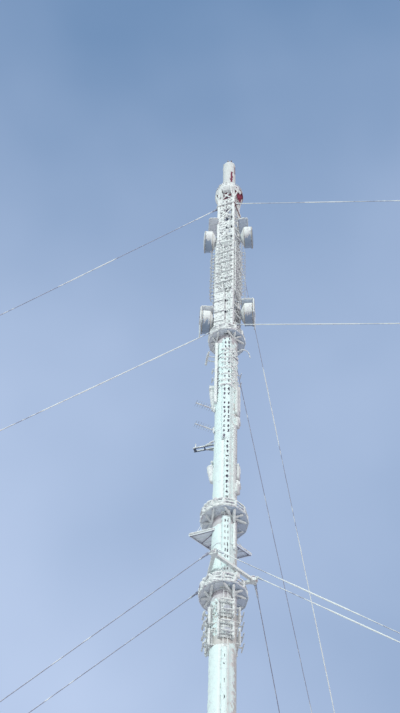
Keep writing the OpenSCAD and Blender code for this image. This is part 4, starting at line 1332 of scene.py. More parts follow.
def head_cover_rime():
    """Crust of the head's cover, split over two upright bands, with tufts on its top."""
    wind = wind_from()
    front_split = polar(1.0, 137.0)
    side_split = polar(1.0, 84.0)
    lee_top = polar(1.0, 228.0)

    def grow(place, outward):
        thick = 0.62 + 0.45 * outward.dot(wind) + 0.9 * lumps(place, 0.05)
        wave = 0.045 * noise.noise(place * 14.0)
        above = place.z - HEAD_Z
        if 0.34 < above < 0.74 and outward.dot(front_split) > 0.965 + wave:
            return 0.0
        if 0.74 < above < 1.02 and outward.dot(side_split) > 0.95 + wave:
            return 0.0
        if above > 0.96 and outward.dot(lee_top) > 0.6:
            thick += 1.3 * max(0.0, noise.noise(place * 26.0))
        return max(0.0, min(2.2, thick))

    bm = bmesh.new()
    sleeve(bm, lift(HEAD_Z + 0.010), lift(HEAD_Z + 1.085), 0.0928, 0.008, 44, 0.014, grow)
    sleeve(bm, lift(HEAD_Z + 0.002), lift(HEAD_Z + 0.018), 0.1062, 0.009, 44, 0.006, grow)
    for azimuth, out in ((228, 0.082), (200, 0.070), (255, 0.066), (160, 0.060), (110, 0.075)):
        foot = polar(out, azimuth, HEAD_Z + 1.07)
        sleeve(bm, foot, foot + polar(0.016, azimuth, 0.022), 0.007, 0.014, 8, 0.006,
               wind_growth(0.8, 0.02))
    for azimuth in LAMP_AZIMUTHS:
        foot = polar(LAMP_OUT, azimuth, HEAD_Z + 1.078)
        sleeve(bm, foot, foot + lift(0.045), 0.0045, 0.010, 8, 0.008, wind_growth(0.6, 0.02))
    crust("head_cover", bm, "cover_hoar")


def head_rail_rime():
    """Collar of rime that fills the head's railing into the wind, and sleeves on its bars."""
    bm = bmesh.new()

    def keep(azimuth, z):
        band = (z - HEAD_Z) % RAIL_STEP
        near = band < 0.014 or band > 0.044
        lump = lumps(Vector((azimuth * 0.0038, 4.0, z)), 0.045)
        top = 0.125 - 0.0045 * max(0.0, azimuth - 188.0) - 0.004 * max(0.0, 148.0 - azimuth)
        top = max(0.012, top) + (0.060 if 173.0 < azimuth < 195.0 else 0.0)
        if z - HEAD_Z > top + 0.03 * noise.noise(Vector((azimuth * 0.06, 8.0, 1.0))):
            return False
        lee = 0.5 * max(0.0, -math.cos(math.radians(azimuth - 205.0)) + 0.1)
        slit = abs(azimuth - 172.0) < 2.0 and z > HEAD_Z + 0.02
        return not slit and lump > -0.62 + lee + (-0.2 if near else 0.0)

    def place(azimuth, z, deep):
        lean = 0.6 * max(0.0, z - HEAD_Z - 0.115)
        return polar(0.2145 + deep - lean, azimuth, z)

    sheet(bm, spread(100.0, 310.0, 3.4), spread(HEAD_Z - 0.034, HEAD_Z + 0.216, 0.0125), keep,
          place, 0.010, 0.020, 0.070)
    wind = wind_from()
    for k, (first, second) in enumerate(steps(24, lambda k: polar(0.2085, 15.0 * k))):
        near = 135 <= 15 * k <= 195
        deep = 0.012 if near else 0.002 + 0.001 * first.normalized().dot(wind)
        for height in (0.003, 0.055, 0.107):
            up = lift(HEAD_Z + height)
            sleeve(bm, first + up, second + up, 0.0042, deep, 7, 0.012, wind_growth(0.45, 0.03))
    crust("head_rail", bm, "soft_hoar")


def head_curtain():
    """Curtain of rime from the head's rim in to the legs, and rime on braces and guy frames."""
    bm = bmesh.new()
    rim_z = HEAD_Z - 0.024
    openings = ((238.0, 0.55, 5.0), (228.0, 0.30, 3.5), (262.0, 0.62, 4.0))
    for first, last, inner, drop, thin in (
        (196.0, 318.0, 0.150, 0.196, -0.62), (136.0, 196.0, 0.140, 0.056, -0.60),
        (98.0, 136.0, 0.188, 0.026, -0.30),
    ):

        def keep(azimuth, t):
            if any(abs(azimuth - middle) < wide and abs(t - share) < 0.2
                   for middle, share, wide in openings):
                return False
            spot = Vector((azimuth * 0.0035, 9.0, (HEAD_R + (inner - HEAD_R) * t) * 1.6))
            return lumps(spot, 0.026) > thin + 0.25 * t * t

        def place(azimuth, t, deep):
            sag = 0.020 * math.sin(math.pi * t)
            return polar(HEAD_R + (inner - HEAD_R) * t + 0.4 * deep, azimuth,
                         rim_z - drop * t - sag + deep)

        sheet(bm, spread(first, last, 3.2), spread(0.0, 1.0, 0.07), keep, place, 0.012, 0.012,
              0.040)
    grow = wind_growth(0.55, 0.03)
    for k in range(4):
        for side in (-1, 1):
            sleeve(bm, polar(0.168, 45 + 90 * k, HEAD_Z - 0.325),
                   polar(0.2035, 45 + 90 * k + side * 20, HEAD_Z - 0.018), 0.0062,
                   0.012 if k in (1, 2) else 0.005, 7, 0.014, grow)
    for z in (HEAD_GUYS, DECK_GUYS):
        for k in range(4):
            into = max(-0.5, polar(1.0, 90.0 * k).dot(wind_from()))
            sleeve(bm, *bar_across(facing(90 * k), -0.142, 0.142, 0.141, z), 0.012,
                   0.006 + 0.006 * into, 8, 0.014, wind_growth(0.30 + 0.2 * into, 0.03))
    crust("head_curtain", bm, "soft_hoar")


def head_bolts():
    """Bolts of the cover's foot and the rim, and the lamps' sockets and guards."""
    bm = bmesh.new()
    for k in range(16):
        foot = polar(0.0995, 22.5 * k + 8.0, HEAD_Z + 0.012)
        add_rod(bm, foot, foot + lift(0.010), 0.0045, 6)
    for k in range(24):
        spot = polar(0.2165, 15.0 * k, HEAD_Z - 0.013)
        add_rod(bm, spot, spot + polar(0.005, 15.0 * k), 0.0040, 6)
    for azimuth in LAMP_AZIMUTHS:
        foot = polar(LAMP_OUT, azimuth, HEAD_Z + 1.080)
        add_rod(bm, foot, foot + lift(0.006), 0.014, 12)
        for k in range(6):
            wire = foot + polar(0.0112, 60.0 * k, 0.066)
            add_rod(bm, wire, wire + lift(0.046), 0.0009, 5)
        add_ring(bm, Matrix.Translation(foot + lift(0.090)), 0.0112, 0.0011, 20, 5)
    piece("head_bolts", bm, "plain_steel")


def head_underside():
    """Red plate, ribs and ring under the head platform."""
    bm = bmesh.new()
    add_rod(bm, lift(HEAD_Z - 0.0200), lift(HEAD_Z - 0.0145), 0.198, 64)
    for k in range(12):
        add_block(bm, (0.006, 0.070, 0.012), at(facing(30.0 * k + 8.0), 0, 0.160, HEAD_Z - 0.026))
    add_ring(bm, Matrix.Translation(lift(HEAD_Z - 0.022)), 0.190, 0.005, 64, 8)
    # Its red is painted light: lighter than the head's red paint, for the shaded underside
    piece("head_underside", bm, "red_lightened_for_shade")


class MAST_OT_head(bpy.types.Operator):
    """Adds the head's rime on cover, railing and curtain, its bolts and its underside"""

    bl_idname = "mast.head"
    bl_label = "Head"

    def execute(self, context):
        head_cover_rime()
        head_rail_rime()
        head_curtain()
        head_bolts()
        head_underside()
        return {"FINISHED"}


def drum_dome(bm, matrix):
    """Shallow dome that closes a drum's front."""
    part = bmesh.new()
    bmesh.ops.create_uvsphere(part, u_segments=48, v_segments=16, radius=1.0)
    bmesh.ops.bisect_plane(part, geom=part.verts[:] + part.edges[:] + part.faces[:],
                           plane_co=(0, 0, 0), plane_no=(0, 0, 1), clear_inner=True)
    bmesh.ops.contextual_create(part, geom=[edge for edge in part.edges if edge.is_boundary])
    bmesh.ops.transform(part, matrix=matrix @ Matrix.Diagonal((0.152, 0.152, 0.016, 1.0)),
                        verts=part.verts)
    join(bm, part)


def drum_fittings(rims, domes, clamps, azimuth, middle):
    """Rims, dome, rim bolts and pole clamps of one drum."""
    out = polar(1.0, azimuth)
    turn = out.to_track_quat("Z", "Y").to_matrix().to_4x4()
    front = Matrix.Translation(middle + out * 0.0545) @ turn
    add_ring(rims, front, 0.1605, 0.0042, 72, 8)
    add_ring(rims, Matrix.Translation(middle - out * 0.0590) @ turn, 0.1560, 0.0030, 72, 6)
    drum_dome(domes, Matrix.Translation(middle + out * 0.0585) @ turn)
    for k in range(16):
        angle = math.radians(22.5 * k)
        x, y = 0.1635 * math.cos(angle), 0.1635 * math.sin(angle)
        add_rod(clamps, *bar_up(front, x, y, -0.018, 0.0), 0.0035, 6)
    for height in DRUM_ARMS:
        foot = polar(POLE_R, azimuth, middle.z + height)
        add_ring(clamps, Matrix.Translation(foot), 0.0115, 0.0032, 20, 6)
    for height in (-0.07, 0.0, 0.07):
        foot = polar(POLE_R, azimuth, middle.z + height)
        add_block(clamps, (0.040, 0.014, 0.016),
                  Matrix.Translation(foot + out * 0.010) @ facing(azimuth), 0.001)


def drum_rime(icy, azimuth, middle):
    """Streaked crust over a drum's windward top, and rime on its back, pole and arms."""
    out = polar(1.0, azimuth)
    into = polar(math.cos(math.radians(42)), 186, math.sin(math.radians(42)))
    side = 1.0 if azimuth < 180 else -1.0

    def grow(place, outward):
        along = (place - middle).dot(out)
        streak = 0.34 * noise.noise(Vector((along * 75.0, place.z * 7.0, azimuth)))
        streak += 0.22 * (0.06 - along) / 0.12
        thick = outward.dot(into) + 0.06 + streak + 0.3 * lumps(place, 0.03)
        return max(0.0, min(1.2, 4.0 * thick))

    sleeve(icy, middle - out * 0.0600, middle + out * 0.0490, 0.1552, 0.007, 84, 0.0055, grow)
    sleeve(icy, middle - out * 0.1085, middle - out * 0.0610, 0.055, 0.008, 60, 0.006,
           wind_growth(0.75, 0.03), end_radius=0.150)
    top = wind_growth(0.60, 0.03)
    pole = polar(POLE_R, azimuth, middle.z)
    sleeve(icy, pole - lift(0.118), pole + lift(0.118), 0.0102, 0.007, 9, 0.012, top)
    for height in DRUM_ARMS:
        for leg in (-1, 1):
            end = Vector((side * (LEG_HALF - 0.006), leg * (LEG_HALF - 0.013), middle.z + height))
            sleeve(icy, polar(POLE_R, azimuth, middle.z + height), end, 0.0068, 0.008, 7, 0.013,
                   top)


def drum_hood(ribs, icy, azimuth, z, framed):
    """Ribs under a drum's ice shield, its crust, and rime on the frame that carries some."""
    matrix = facing(azimuth)
    outer = 0.3715 if framed else 0.2915
    wide = 0.170 if framed else 0.135
    for k in range(4):
        add_block(ribs, (0.005, wide - 0.006, 0.010),
                  at(matrix, -0.148 + k * 0.0987, outer - wide / 2, z - 0.0045), 0.0006)
    for y in (outer - 0.003, outer - wide + 0.003):
        add_block(ribs, (0.298, 0.005, 0.012), at(matrix, 0, y, z - 0.0045), 0.0006)
    grow = wind_growth(0.62, 0.03)
    corners = [(-0.150, outer), (0.150, outer), (0.150, outer - wide), (-0.150, outer - wide)]
    for first, second in zip(corners, corners[1:] + corners[:1]):
        sleeve(icy, *span(matrix, (*first, z + 0.004), (*second, z + 0.004)), 0.0045, 0.008, 7,
               0.012, grow)

    def keep(x, y):
        return lumps(Vector((x, azimuth, y)), 0.05) > -0.35

    def place(x, y, deep):
        return matrix @ Vector((x, y, z + 0.016 + deep))

    sheet(icy, spread(-0.146, 0.146, 0.0125), spread(outer - wide + 0.004, outer - 0.004, 0.0125),
          keep, place, 0.011, 0.012, 0.03)
    if framed:
        low = z - 0.342
        for x in (-0.146, 0.146):
            sleeve(icy, *bar_up(matrix, x, outer - 0.004, z, low), 0.0042, 0.007, 7, 0.012, grow)
        sleeve(icy, *bar_across(matrix, -0.150, 0.150, outer - 0.004, low), 0.0042, 0.006, 7,
               0.012, wind_growth(0.3, 0.03))


class MAST_OT_drums(bpy.types.Operator):
    """Adds rims, clamps and domes to the drum aerials, and rime on them and their hoods"""

    bl_idname = "mast.drums"
    bl_label = "Drum aerials"

    def execute(self, context):
        rims, domes, clamps, icy, ribs, icy_hoods = (bmesh.new() for _ in range(6))
        for azimuth, height, shield in DRUMS:
            z = UPPER_DECK + height
            middle = polar(DRUM_R, azimuth, z)
            drum_fittings(rims, domes, clamps, azimuth, middle)
            drum_rime(icy, azimuth, middle)
            drum_hood(ribs, icy_hoods, azimuth, z + shield, height < 2.4)
        piece("drum_rims", rims, "tan_rim")
        piece("drum_domes", domes, "drum_shell")
        piece("drum_clamps", clamps, "plain_steel")
        crust("drums", icy)
        piece("hood_ribs", ribs, "deck_steel")
        crust("hoods", icy_hoods)
        return {"FINISHED"}


def deck_corner(across, k):
    """Corner of a twelve-sided railing, with the width over the deck."""
    return polar(across / 2.0 - 0.011, 12.0 + 30.0 * k)


def deck_rail_rime(name, z, across):
    """Rime on a deck's railing, posts and edge."""
    bm = bmesh.new()
    wind = wind_from()
    for first, second in steps(12, lambda k: deck_corner(across, k)):
        toward = (first + second).normalized()
        into = max(-0.4, toward.dot(wind))
        depth = 0.009 + 0.011 * into
        grow = wind_growth(0.50 + 0.2 * into, 0.03)
        for height, more in ((0.006, 1.2), (0.055, 0.9), (0.107, 1.15)):
            up = lift(z + height)
            sleeve(bm, first + up, second + up, 0.0042, depth * more, 7, 0.011, grow)
        foot = first + lift(z + 0.004)
        sleeve(bm, foot, foot + lift(0.106), 0.0045, 0.005 + depth * 0.8, 7, 0.012,
               wind_growth(0.66, 0.03))
        edge = lift(z - 0.009)
        out = toward * 0.009
        sleeve(bm, first + edge + out, second + edge + out, 0.0085, 0.002 + 0.5 * depth, 8, 0.012,
               wind_growth(0.15 + 0.25 * into, 0.03))
    crust(f"{name}_rail", bm)


def deck_strut_rime(name, z, across):
    """Rime on a deck's three fans of struts and the knots that they rise from."""
    bm = bmesh.new()
    low = z - DECK_T - STRUT_DROP
    high = z - DECK_T - 0.0047
    for azimuth in GUY_AZIMUTHS:
        thick = 0.0095 if azimuth else 0.004
        first = math.floor((azimuth - 12.0) / 30.0) - 1
        start = polar(TUBE_R + 0.004, azimuth, low + 0.001)
        for k in range(4):
            end = polar(0.45 * across, 12.0 + 30.0 * (first + k), high - 0.005)
            sleeve(bm, start, end, 0.0068, thick, 8, 0.012, wind_growth(0.86, 0.03))
        knot = polar(TUBE_R + 0.006, azimuth, low)
        sleeve(bm, knot - lift(0.016), knot + lift(0.016), 0.016, thick, 12, 0.008,
               wind_growth(0.6, 0.02))
    if name != "upper":
        sleeve(bm, polar(0.45 * across, 134.0, z - 0.022), polar(0.152, 114.0, z - 0.130), 0.009,
               0.008, 10, 0.012, wind_growth(0.8, 0.03))
    crust(f"{name}_struts", bm, "soft_hoar")


def deck_ribs(name, z, across):
    """Ribs under a deck, bolts round its edge and the frame of the ladder's opening."""
    bm = bmesh.new()
    reach = across / 2.0 - 0.008 - TUBE_R
    for k in range(12):
        azimuth = 12.0 + 30.0 * k
        if abs(azimuth - HATCH_AZ) >= 20.0:
            add_block(bm, (0.006, reach, 0.010),
                      at(facing(azimuth), 0, TUBE_R + reach / 2.0, z - DECK_T - 0.0055), 0.0006)
    for k in range(24):
        spot = polar(across / 2.0 * 0.967 - 0.001, 15.0 * k, z - 0.009)
        add_rod(bm, spot, spot + polar(0.004, 15.0 * k), 0.0035, 6)
    matrix = facing(HATCH_AZ)
    for x in (-0.0555, 0.0555):
        add_block(bm, (0.005, 0.062, 0.026), at(matrix, x, TUBE_R + 0.033, z - 0.010))
    add_block(bm, (0.116, 0.005, 0.026), at(matrix, 0, TUBE_R + 0.0625, z - 0.010))
    piece(f"{name}_deck_ribs", bm, "deck_steel")


def deck_hatch(name, z):
    """Hatch cover, collar round the tube and hatch frame with its hinges under a deck."""
    matrix = facing(174.0)
    bm = bmesh.new()
    add_block(bm, (0.092, 0.044, 0.004), at(matrix, 0, 0.206, z - 0.0160), 0.001)
    piece(f"{name}_hatch_cover", bm, "deck_steel")
    bm = bmesh.new()
    add_ring(bm, Matrix.Translation(lift(z - 0.019)), TUBE_R + 0.003, 0.0050, 72, 8)
    piece(f"{name}_deck_collar", bm, "frosted")
    bm = bmesh.new()
    for x in (-0.048, 0.048):
        add_block(bm, (0.006, 0.054, 0.009), at(matrix, x, 0.206, z - 0.018), 0.0006)
    for y in (0.182, 0.230):
        add_block(bm, (0.102, 0.006, 0.009), at(matrix, 0, y, z - 0.018), 0.0006)
    for x in (-0.026, 0.026):
        add_rod(bm, *bar_across(matrix, x - 0.008, x + 0.008, 0.180, z - 0.019), 0.0035, 8)
    piece(f"{name}_hatch_frame", bm, "deck_steel")


def rear_point(run, across, z):
    """Point of the rear platform: run along its slope in plan and across it."""
    slope = math.radians(REAR_TURN)
    return Vector((run * math.sin(slope) - across, run * math.cos(slope), z))


def rear_platform():
    """Rime along the rear platform's edges, and dark strips under its edges and ribs: painted
    shadow of the gaps there.
    """
    near, far = -REAR_NEAR, REAR_LEN - REAR_NEAR
    corners = [rear_point(near, 0, REAR_Z), rear_point(far, 0, REAR_Z),
               rear_point(far, REAR_W, REAR_Z), rear_point(near, REAR_W, REAR_Z)]
    middle = (corners[0] + corners[2]) / 2
    icy, shadow_strips = bmesh.new(), bmesh.new()
    grow = wind_growth(0.45, 0.035)
    for first, second in zip(corners, corners[1:] + corners[:1]):
        into = max(-0.5, (first + second).normalized().dot(wind_from()))
        sleeve(icy, first + lift(0.004), second + lift(0.004), 0.006, 0.007 + 0.008 * into, 8,
               0.014, grow)
        # Dark strips inset under the plate's edges: painted shadow
        inset = (middle - (first + second) / 2).normalized() * 0.016 - lift(0.0205)
        add_rod(shadow_strips, first + inset, second + inset, 0.0030, 6)
    crust("rear_platform", icy)
    # Dark strips across the underside along its ribs: painted shadow
    across = polar(1.0, 90.0 + REAR_TURN)
    wide = REAR_W * math.cos(math.radians(REAR_TURN))
    for k in range(5):
        left = rear_point(0.02 + 0.09 * k, REAR_W, REAR_Z - 0.0185)
        add_rod(shadow_strips, left + across * 0.010, left + across * (wide - 0.010), 0.0034, 6)
    piece("rear_platform_shadow_strips", shadow_strips, "cable")


class MAST_OT_decks(bpy.types.Operator):
    """Adds ribs, hatches and collars to the decks, and rime on railings and struts"""

    bl_idname = "mast.decks"
    bl_label = "Decks"

    def execute(self, context):
        for name, z, across in DECKS:
            deck_rail_rime(name, z, across)
            deck_strut_rime(name, z, across)
            deck_ribs(name, z, across)
            deck_hatch(name, z)
        rear_platform()
        return {"FINISHED"}


def rope_coat(outer, start, end):
    """Amount and depth of the rime on a rope: least behind the mast and low down."""
    if outer and start.y > 0.1 and start.z < 19.0:
        return -0.40, 0.0010
    if outer:
        return 0.60, 0.0032
    if end.x > 1.0 and start.z > 11.0:
        return 0.95, 0.0032
    return -0.45, 0.0014


def rope_growth(amount, offset):
    """Growth of a rope's rime, in long runs that differ from rope to rope."""
    wind = wind_from()

    def grow(place, outward):
        run = noise.noise(Vector((place.z * 0.9, offset, 0.0)))
        run += 0.5 * noise.noise(Vector((place.z * 3.1, offset, 5.0)))
        thick = 0.4 * outward.dot(wind) + amount + 2.2 * run + lumps(place, 0.07)
        return max(0.0, min(1.0, thick))

    return grow


def rope_end(bm, pin, way):
    """Pin, clamps and socket at a rope's end."""
    side = Vector((way.y, -way.x, 0.0)).normalized()
    for step in (-1, 1):
        add_rod(bm, pin + side * (step * 0.0110), pin + side * (step * 0.0165), 0.0095, 6)
    for run in (0.050, 0.066, 0.120, 0.131):
        add_rod(bm, pin + way * run, pin + way * (run + 0.007), 0.0115, 12)
    add_rod(bm, pin + way * 0.136, pin + way * 0.160, 0.0095, 12, 0.5)


class MAST_OT_ropes(bpy.types.Operator):
    """Adds rime in long runs on the guy ropes, and their sockets and shackles"""

    bl_idname = "mast.ropes"
    bl_label = "Guy ropes"

    def execute(self, context):
        fittings = bmesh.new()
        for name, ropes in (("outer", outer_ropes), ("inner", inner_ropes)):
            bm = bmesh.new()
            for start, end in ropes():
                way = (end - start).normalized()
                amount, deep = rope_coat(name == "outer", start, end)
                sleeve(bm, start + way * 0.14, end - way * 0.14, 0.0045, deep, 6, 0.055,
                       rope_growth(amount, 13.0 * start.z))
                rope_end(fittings, start, way)
                rope_end(fittings, end, -way)
            crust(f"guys_{name}", bm)
        piece("rope_fittings", fittings, "plain_steel")
        return {"FINISHED"}


def dipole_bay(icy, rungs, azimuth, mid):
    """Rime and rungs of one bay of the lower aerial."""
    matrix = facing(azimuth)
    depth = 0.008 + 0.005 * polar(1.0, azimuth).dot(wind_from())
    for x in (-0.080, 0.080):
        sleeve(icy, *bar_up(matrix, x, 0.1595, mid - 0.123, mid + 0.123), 0.0068, depth, 8, 0.012,
               wind_growth(0.62))
    for z in (mid - 0.075, mid + 0.075):
        sleeve(icy, *bar_across(matrix, -0.070, 0.070, 0.206, z), 0.0045, depth, 7, 0.011,
               wind_growth(0.55))
        sleeve(icy, *bar_out(matrix, 0, 0.142, 0.204, z), 0.0078, 0.8 * depth, 8, 0.011,
               wind_growth(0.55))
        sleeve(icy, *bar_across(matrix, -0.078, 0.078, 0.1595, z), 0.0043, 0.8 * depth, 7, 0.012,
               wind_growth(0.5))
    if azimuth in (150, 240):
        sheet(icy, spread(-0.074, 0.074, 0.0105), spread(mid - 0.115, mid + 0.115, 0.0115),
              lambda x, z: lumps(Vector((x, 3.0 * mid, z)), 0.026) > -0.46,
              on_tube(matrix, 0.1530), 0.008, 0.009)
    for z in spread(mid - 0.105, mid + 0.105, 0.035):
        add_rod(rungs, *bar_across(matrix, -0.080, 0.080, 0.1560, z), 0.0026, 6)
    for x in (-0.045, 0.030, 0.052):
        add_rod(rungs, *bar_up(matrix, x, 0.152, mid - 0.12, mid + 0.12), 0.0040, 8)


def feeder_box(bm, azimuth, z):
    """Round box on the tube with a bolted lid."""
    lid = TUBE_R + 0.040
    add_rod(bm, polar(TUBE_R - 0.004, azimuth, z), polar(lid, azimuth, z), 0.038, 24)
    add_rod(bm, polar(lid, azimuth, z), polar(lid + 0.005, azimuth, z), 0.034, 24, 0.8)
    for k in range(6):
        turn = math.radians(60.0 * k)
        bolt = bar_out(facing(azimuth, z), 0.030 * math.cos(turn), lid, lid + 0.008,
                       0.030 * math.sin(turn))
        add_rod(bm, *bolt, 0.003, 6)


class MAST_OT_lower_aerial(bpy.types.Operator):
    """Adds rungs, feeder boxes and rime to the lower aerial"""

    bl_idname = "mast.lower_aerial"
    bl_label = "Lower aerial"

    def execute(self, context):
        icy, rungs, boxes = bmesh.new(), bmesh.new(), bmesh.new()
        for azimuth, drop in FM_COLUMNS:
            for bay in range(2):
                dipole_bay(icy, rungs, azimuth, LOWER_DECK - 0.325 - drop - bay * 0.310)
        for drop in (0.335, 0.665):
            for azimuth in (148.0, 268.0, 28.0):
                feeder_box(boxes, azimuth, LOWER_DECK - drop)
        knots = random.Random(41)
        for _ in range(46):
            azimuth = knots.uniform(96.0, 226.0)
            z = knots.uniform(LOWER_DECK - 0.75, LOWER_DECK - 0.15)
            spot = polar(TUBE_R + 0.002, azimuth, z)
            reach = knots.uniform(0.014, 0.036)
            lean = Vector((knots.uniform(-reach, reach), 0.016, knots.uniform(-0.5, 0.5) * reach))
            sleeve(icy, spot, spot + facing(azimuth) @ lean, 0.006, 0.009, 7, 0.007,
                   wind_growth(0.55, 0.02))
        piece("lower_aerial_rungs", rungs, "frosted")
        piece("lower_aerial_boxes", boxes, "slate_plate")
        crust("lower_aerial", icy, "soft_hoar")
        return {"FINISHED"}


def bent_arm():
    """Points of the curved arm beside the ladder, from the tube outwards."""
    return [polar(radius, azimuth, ARM_Z + rise) for radius, azimuth, rise in (
        (0.15, 100, 0.0), (0.235, 98, 0.02), (0.262, 92, 0.02), (0.285, 86, 0.01),
        (0.300, 80, -0.015), (0.306, 75, -0.05),
    )]


def comb_rime(bm, grow):
    """Rime on the two comb aerials and their teeth."""
    for z in (TUBE_TOP - 1.61, TUBE_TOP - 2.05):
        matrix = facing(228.0, z)
        sleeve(bm, *bar_out(matrix, 0, TUBE_R, 0.411), 0.0040, 0.006, 7, 0.012, grow)
        sleeve(bm, *bar_up(matrix, 0, 0.1615, -0.060, 0.060), 0.0058, 0.006, 7, 0.012, grow)
        for k in range(8):
            y = 0.1615 + 0.024 + k * (0.250 - 0.030) / 7.0
            sleeve(bm, *bar_across(matrix, -0.050, 0.050, y), 0.0022, 0.0012, 6, 0.010,
                   wind_growth(-0.25, 0.02))


def small_aerial_rime(bm, grow):
    """Rime on the panel aerial and the loops below it."""
    matrix = facing(240.0, TUBE_TOP - 0.44)
    sleeve(bm, *bar_across(matrix, -0.105, 0.105, 0.258), 0.0120, 0.008, 9, 0.010,
           wind_growth(0.35))
    for x in (-0.035, 0.035):
        sleeve(bm, *bar_out(matrix, x, TUBE_R, 0.250), 0.0045, 0.005, 7, 0.012, grow)
    for azimuth in (60.0, 240.0):
        for z in (TUBE_TOP - 0.93, TUBE_TOP - 0.72):
            matrix = facing(azimuth, z)
            sleeve(bm, *bar_across(matrix, -0.042, 0.042, 0.185), 0.0045,
                   0.007 if azimuth > 180 else 0.002, 7, 0.010, grow)
            sleeve(bm, *bar_out(matrix, 0, TUBE_R, 0.184), 0.0045, 0.005, 7, 0.010, grow)


def outrigger_rime(bm, grow):
    """Rime on the twin-beam outrigger, its braces and its post."""
    matrix = facing(265.0, TUBE_TOP - 2.25 + 0.007)
    for side in (-1, 1):
        x = side * 0.025
        sleeve(bm, *span(matrix, (x, 0.2568, 0), (side * 0.0745, 0.118, 0)), 0.0048, 0.009, 7,
               0.012, grow)
        sleeve(bm, *bar_out(matrix, x, TUBE_R, 0.402, 0.006), 0.0062, 0.004, 8, 0.014,
               wind_growth(0.1))
    sleeve(bm, *bar_up(matrix, 0, 0.376, 0.01, 0.122), 0.0040, 0.005, 7, 0.012, grow)


def fittings_rime():
    """Rime on the aerials, outrigger, duct and pipes of the upper tube, and the curved arm."""
    bm = bmesh.new()
    grow = wind_growth(0.62, 0.025)
    comb_rime(bm, grow)
    small_aerial_rime(bm, grow)
    outrigger_rime(bm, grow)
    sleeve(bm, *bar_up(facing(DUCT_AZ), 0.004, 0.1605, DUCT_LOW + 0.002, DUCT_TOP - 0.002), 0.0145,
           0.009, 14, 0.014, wind_growth(0.55))
    for low, high in ((MID_DECK - 0.59, MID_DECK - 0.14), (LOWER_DECK - 0.21, LOWER_DECK - 0.13)):
        sleeve(bm, polar(0.151, 114.0, low), polar(0.151, 114.0, high), 0.009, 0.010, 12, 0.013,
               wind_growth(0.75))
    bend = bent_arm()
    for first, second in zip(bend, bend[1:]):
        sleeve(bm, first, second, 0.0035, 0.006, 7, 0.010, wind_growth(0.7, 0.02))
    crust("tube_fittings", bm)
    arm = bmesh.new()
    bend[0] = polar(0.13, 100, ARM_Z)
    for first, second in zip(bend, bend[1:]):
        add_rod(arm, first, second, 0.0045, 8)
    piece("curved_arm", arm, "aerial_metal")


def frosted_trunk(knots):
    """Frosted steps of the trunking and boxes beside the ladder."""
    bm = bmesh.new()
    matrix = facing(113.0)
    for z in spread(MID_DECK + 0.27, MID_DECK + 1.73, 0.0225):
        wide = 0.064 + knots.uniform(-0.006, 0.008)
        deep = 0.018 + knots.uniform(-0.003, 0.006)
        add_block(bm, (wide, deep, 0.0165),
                  at(matrix, knots.uniform(-0.003, 0.003), TUBE_R + 0.004, z), 0.004)
    for above, tall, azimuth, wide, deep in (
        (2.00, 0.52, 95.0, 0.098, 0.032), (1.74, 0.14, 97.0, 0.070, 0.034),
        (0.74, 0.25, 86.0, 0.070, 0.034), (0.45, 0.12, 98.0, 0.080, 0.036),
    ):
        matrix = facing(azimuth)
        for z in spread(MID_DECK + above, MID_DECK + above + tall, 0.021):
            add_block(bm, (wide + knots.uniform(-0.005, 0.006), deep, 0.0160),
                      at(matrix, 0.0, TUBE_R + deep / 2.0, z), 0.004)
    piece("frosted_trunk", bm, "frosted", 50.0)


def rime_lumps(knots):
    """Lumps and bands of rime on the upper tube, its boxes and its pipes."""
    bm = bmesh.new()
    grow = wind_growth(0.65, 0.022)
    for _ in range(104):
        azimuth = knots.uniform(94.0, 172.0)
        z = knots.uniform(TUBE_TOP - 1.23, TUBE_TOP - 0.35)
        spot = polar(TUBE_R + (0.016 if azimuth > 126.0 else 0.0), azimuth, z)
        lean = Vector((knots.uniform(-0.03, 0.03), 0.016, knots.uniform(-0.02, 0.02)))
        sleeve(bm, spot, spot + facing(azimuth) @ lean, 0.009, 0.015, 7, 0.007, grow)
    for drop in (0.37, 0.57, 0.68, 0.81, 0.95, 1.08, 1.19):
        z = TUBE_TOP - drop
        for azimuth in range(90, 182, 8):
            slope = 0.02 * math.sin(azimuth * 0.09 + z * 9.0)
            out = TUBE_R + (0.022 if azimuth > 122 else 0.006)
            thick = 0.013 if azimuth < 150 else 0.008
            sleeve(bm, polar(out, azimuth, z + slope), polar(out, azimuth + 9, z - slope), 0.0075,
                   thick, 8, 0.007, grow)
    for azimuth, drop, tall, _, _ in CABINETS:
        if azimuth < 90:
            low = TUBE_TOP - drop - 0.012
            sleeve(bm, polar(TUBE_R, azimuth + 6, low),
                   polar(TUBE_R, azimuth + 6, low + tall + 0.024), 0.036, 0.010, 16, 0.012, grow)
    for low, high, azimuth, reach in ((0.71, 1.00, 252.0, 0.040), (2.15, 2.57, 250.0, 0.034)):
        sleeve(bm, polar(0.150, azimuth, MID_DECK + low), polar(0.170, azimuth, MID_DECK + high),
               0.014, 0.016, 12, 0.012, wind_growth(0.60), end_radius=reach)
    for above, azimuth in ((2.29, 250.0), (0.89, 252.0)):
        for _ in range(16):
            z = MID_DECK + above + knots.uniform(-0.02, 0.20)
            spot = polar(TUBE_R + 0.006, azimuth + knots.uniform(-14.0, 12.0), z)
            lean = polar(knots.uniform(0.012, 0.038), azimuth, knots.uniform(-0.015, 0.015))
            sleeve(bm, spot, spot + lean, 0.008, 0.010, 7, 0.008, grow)
    crust("lumps", bm)


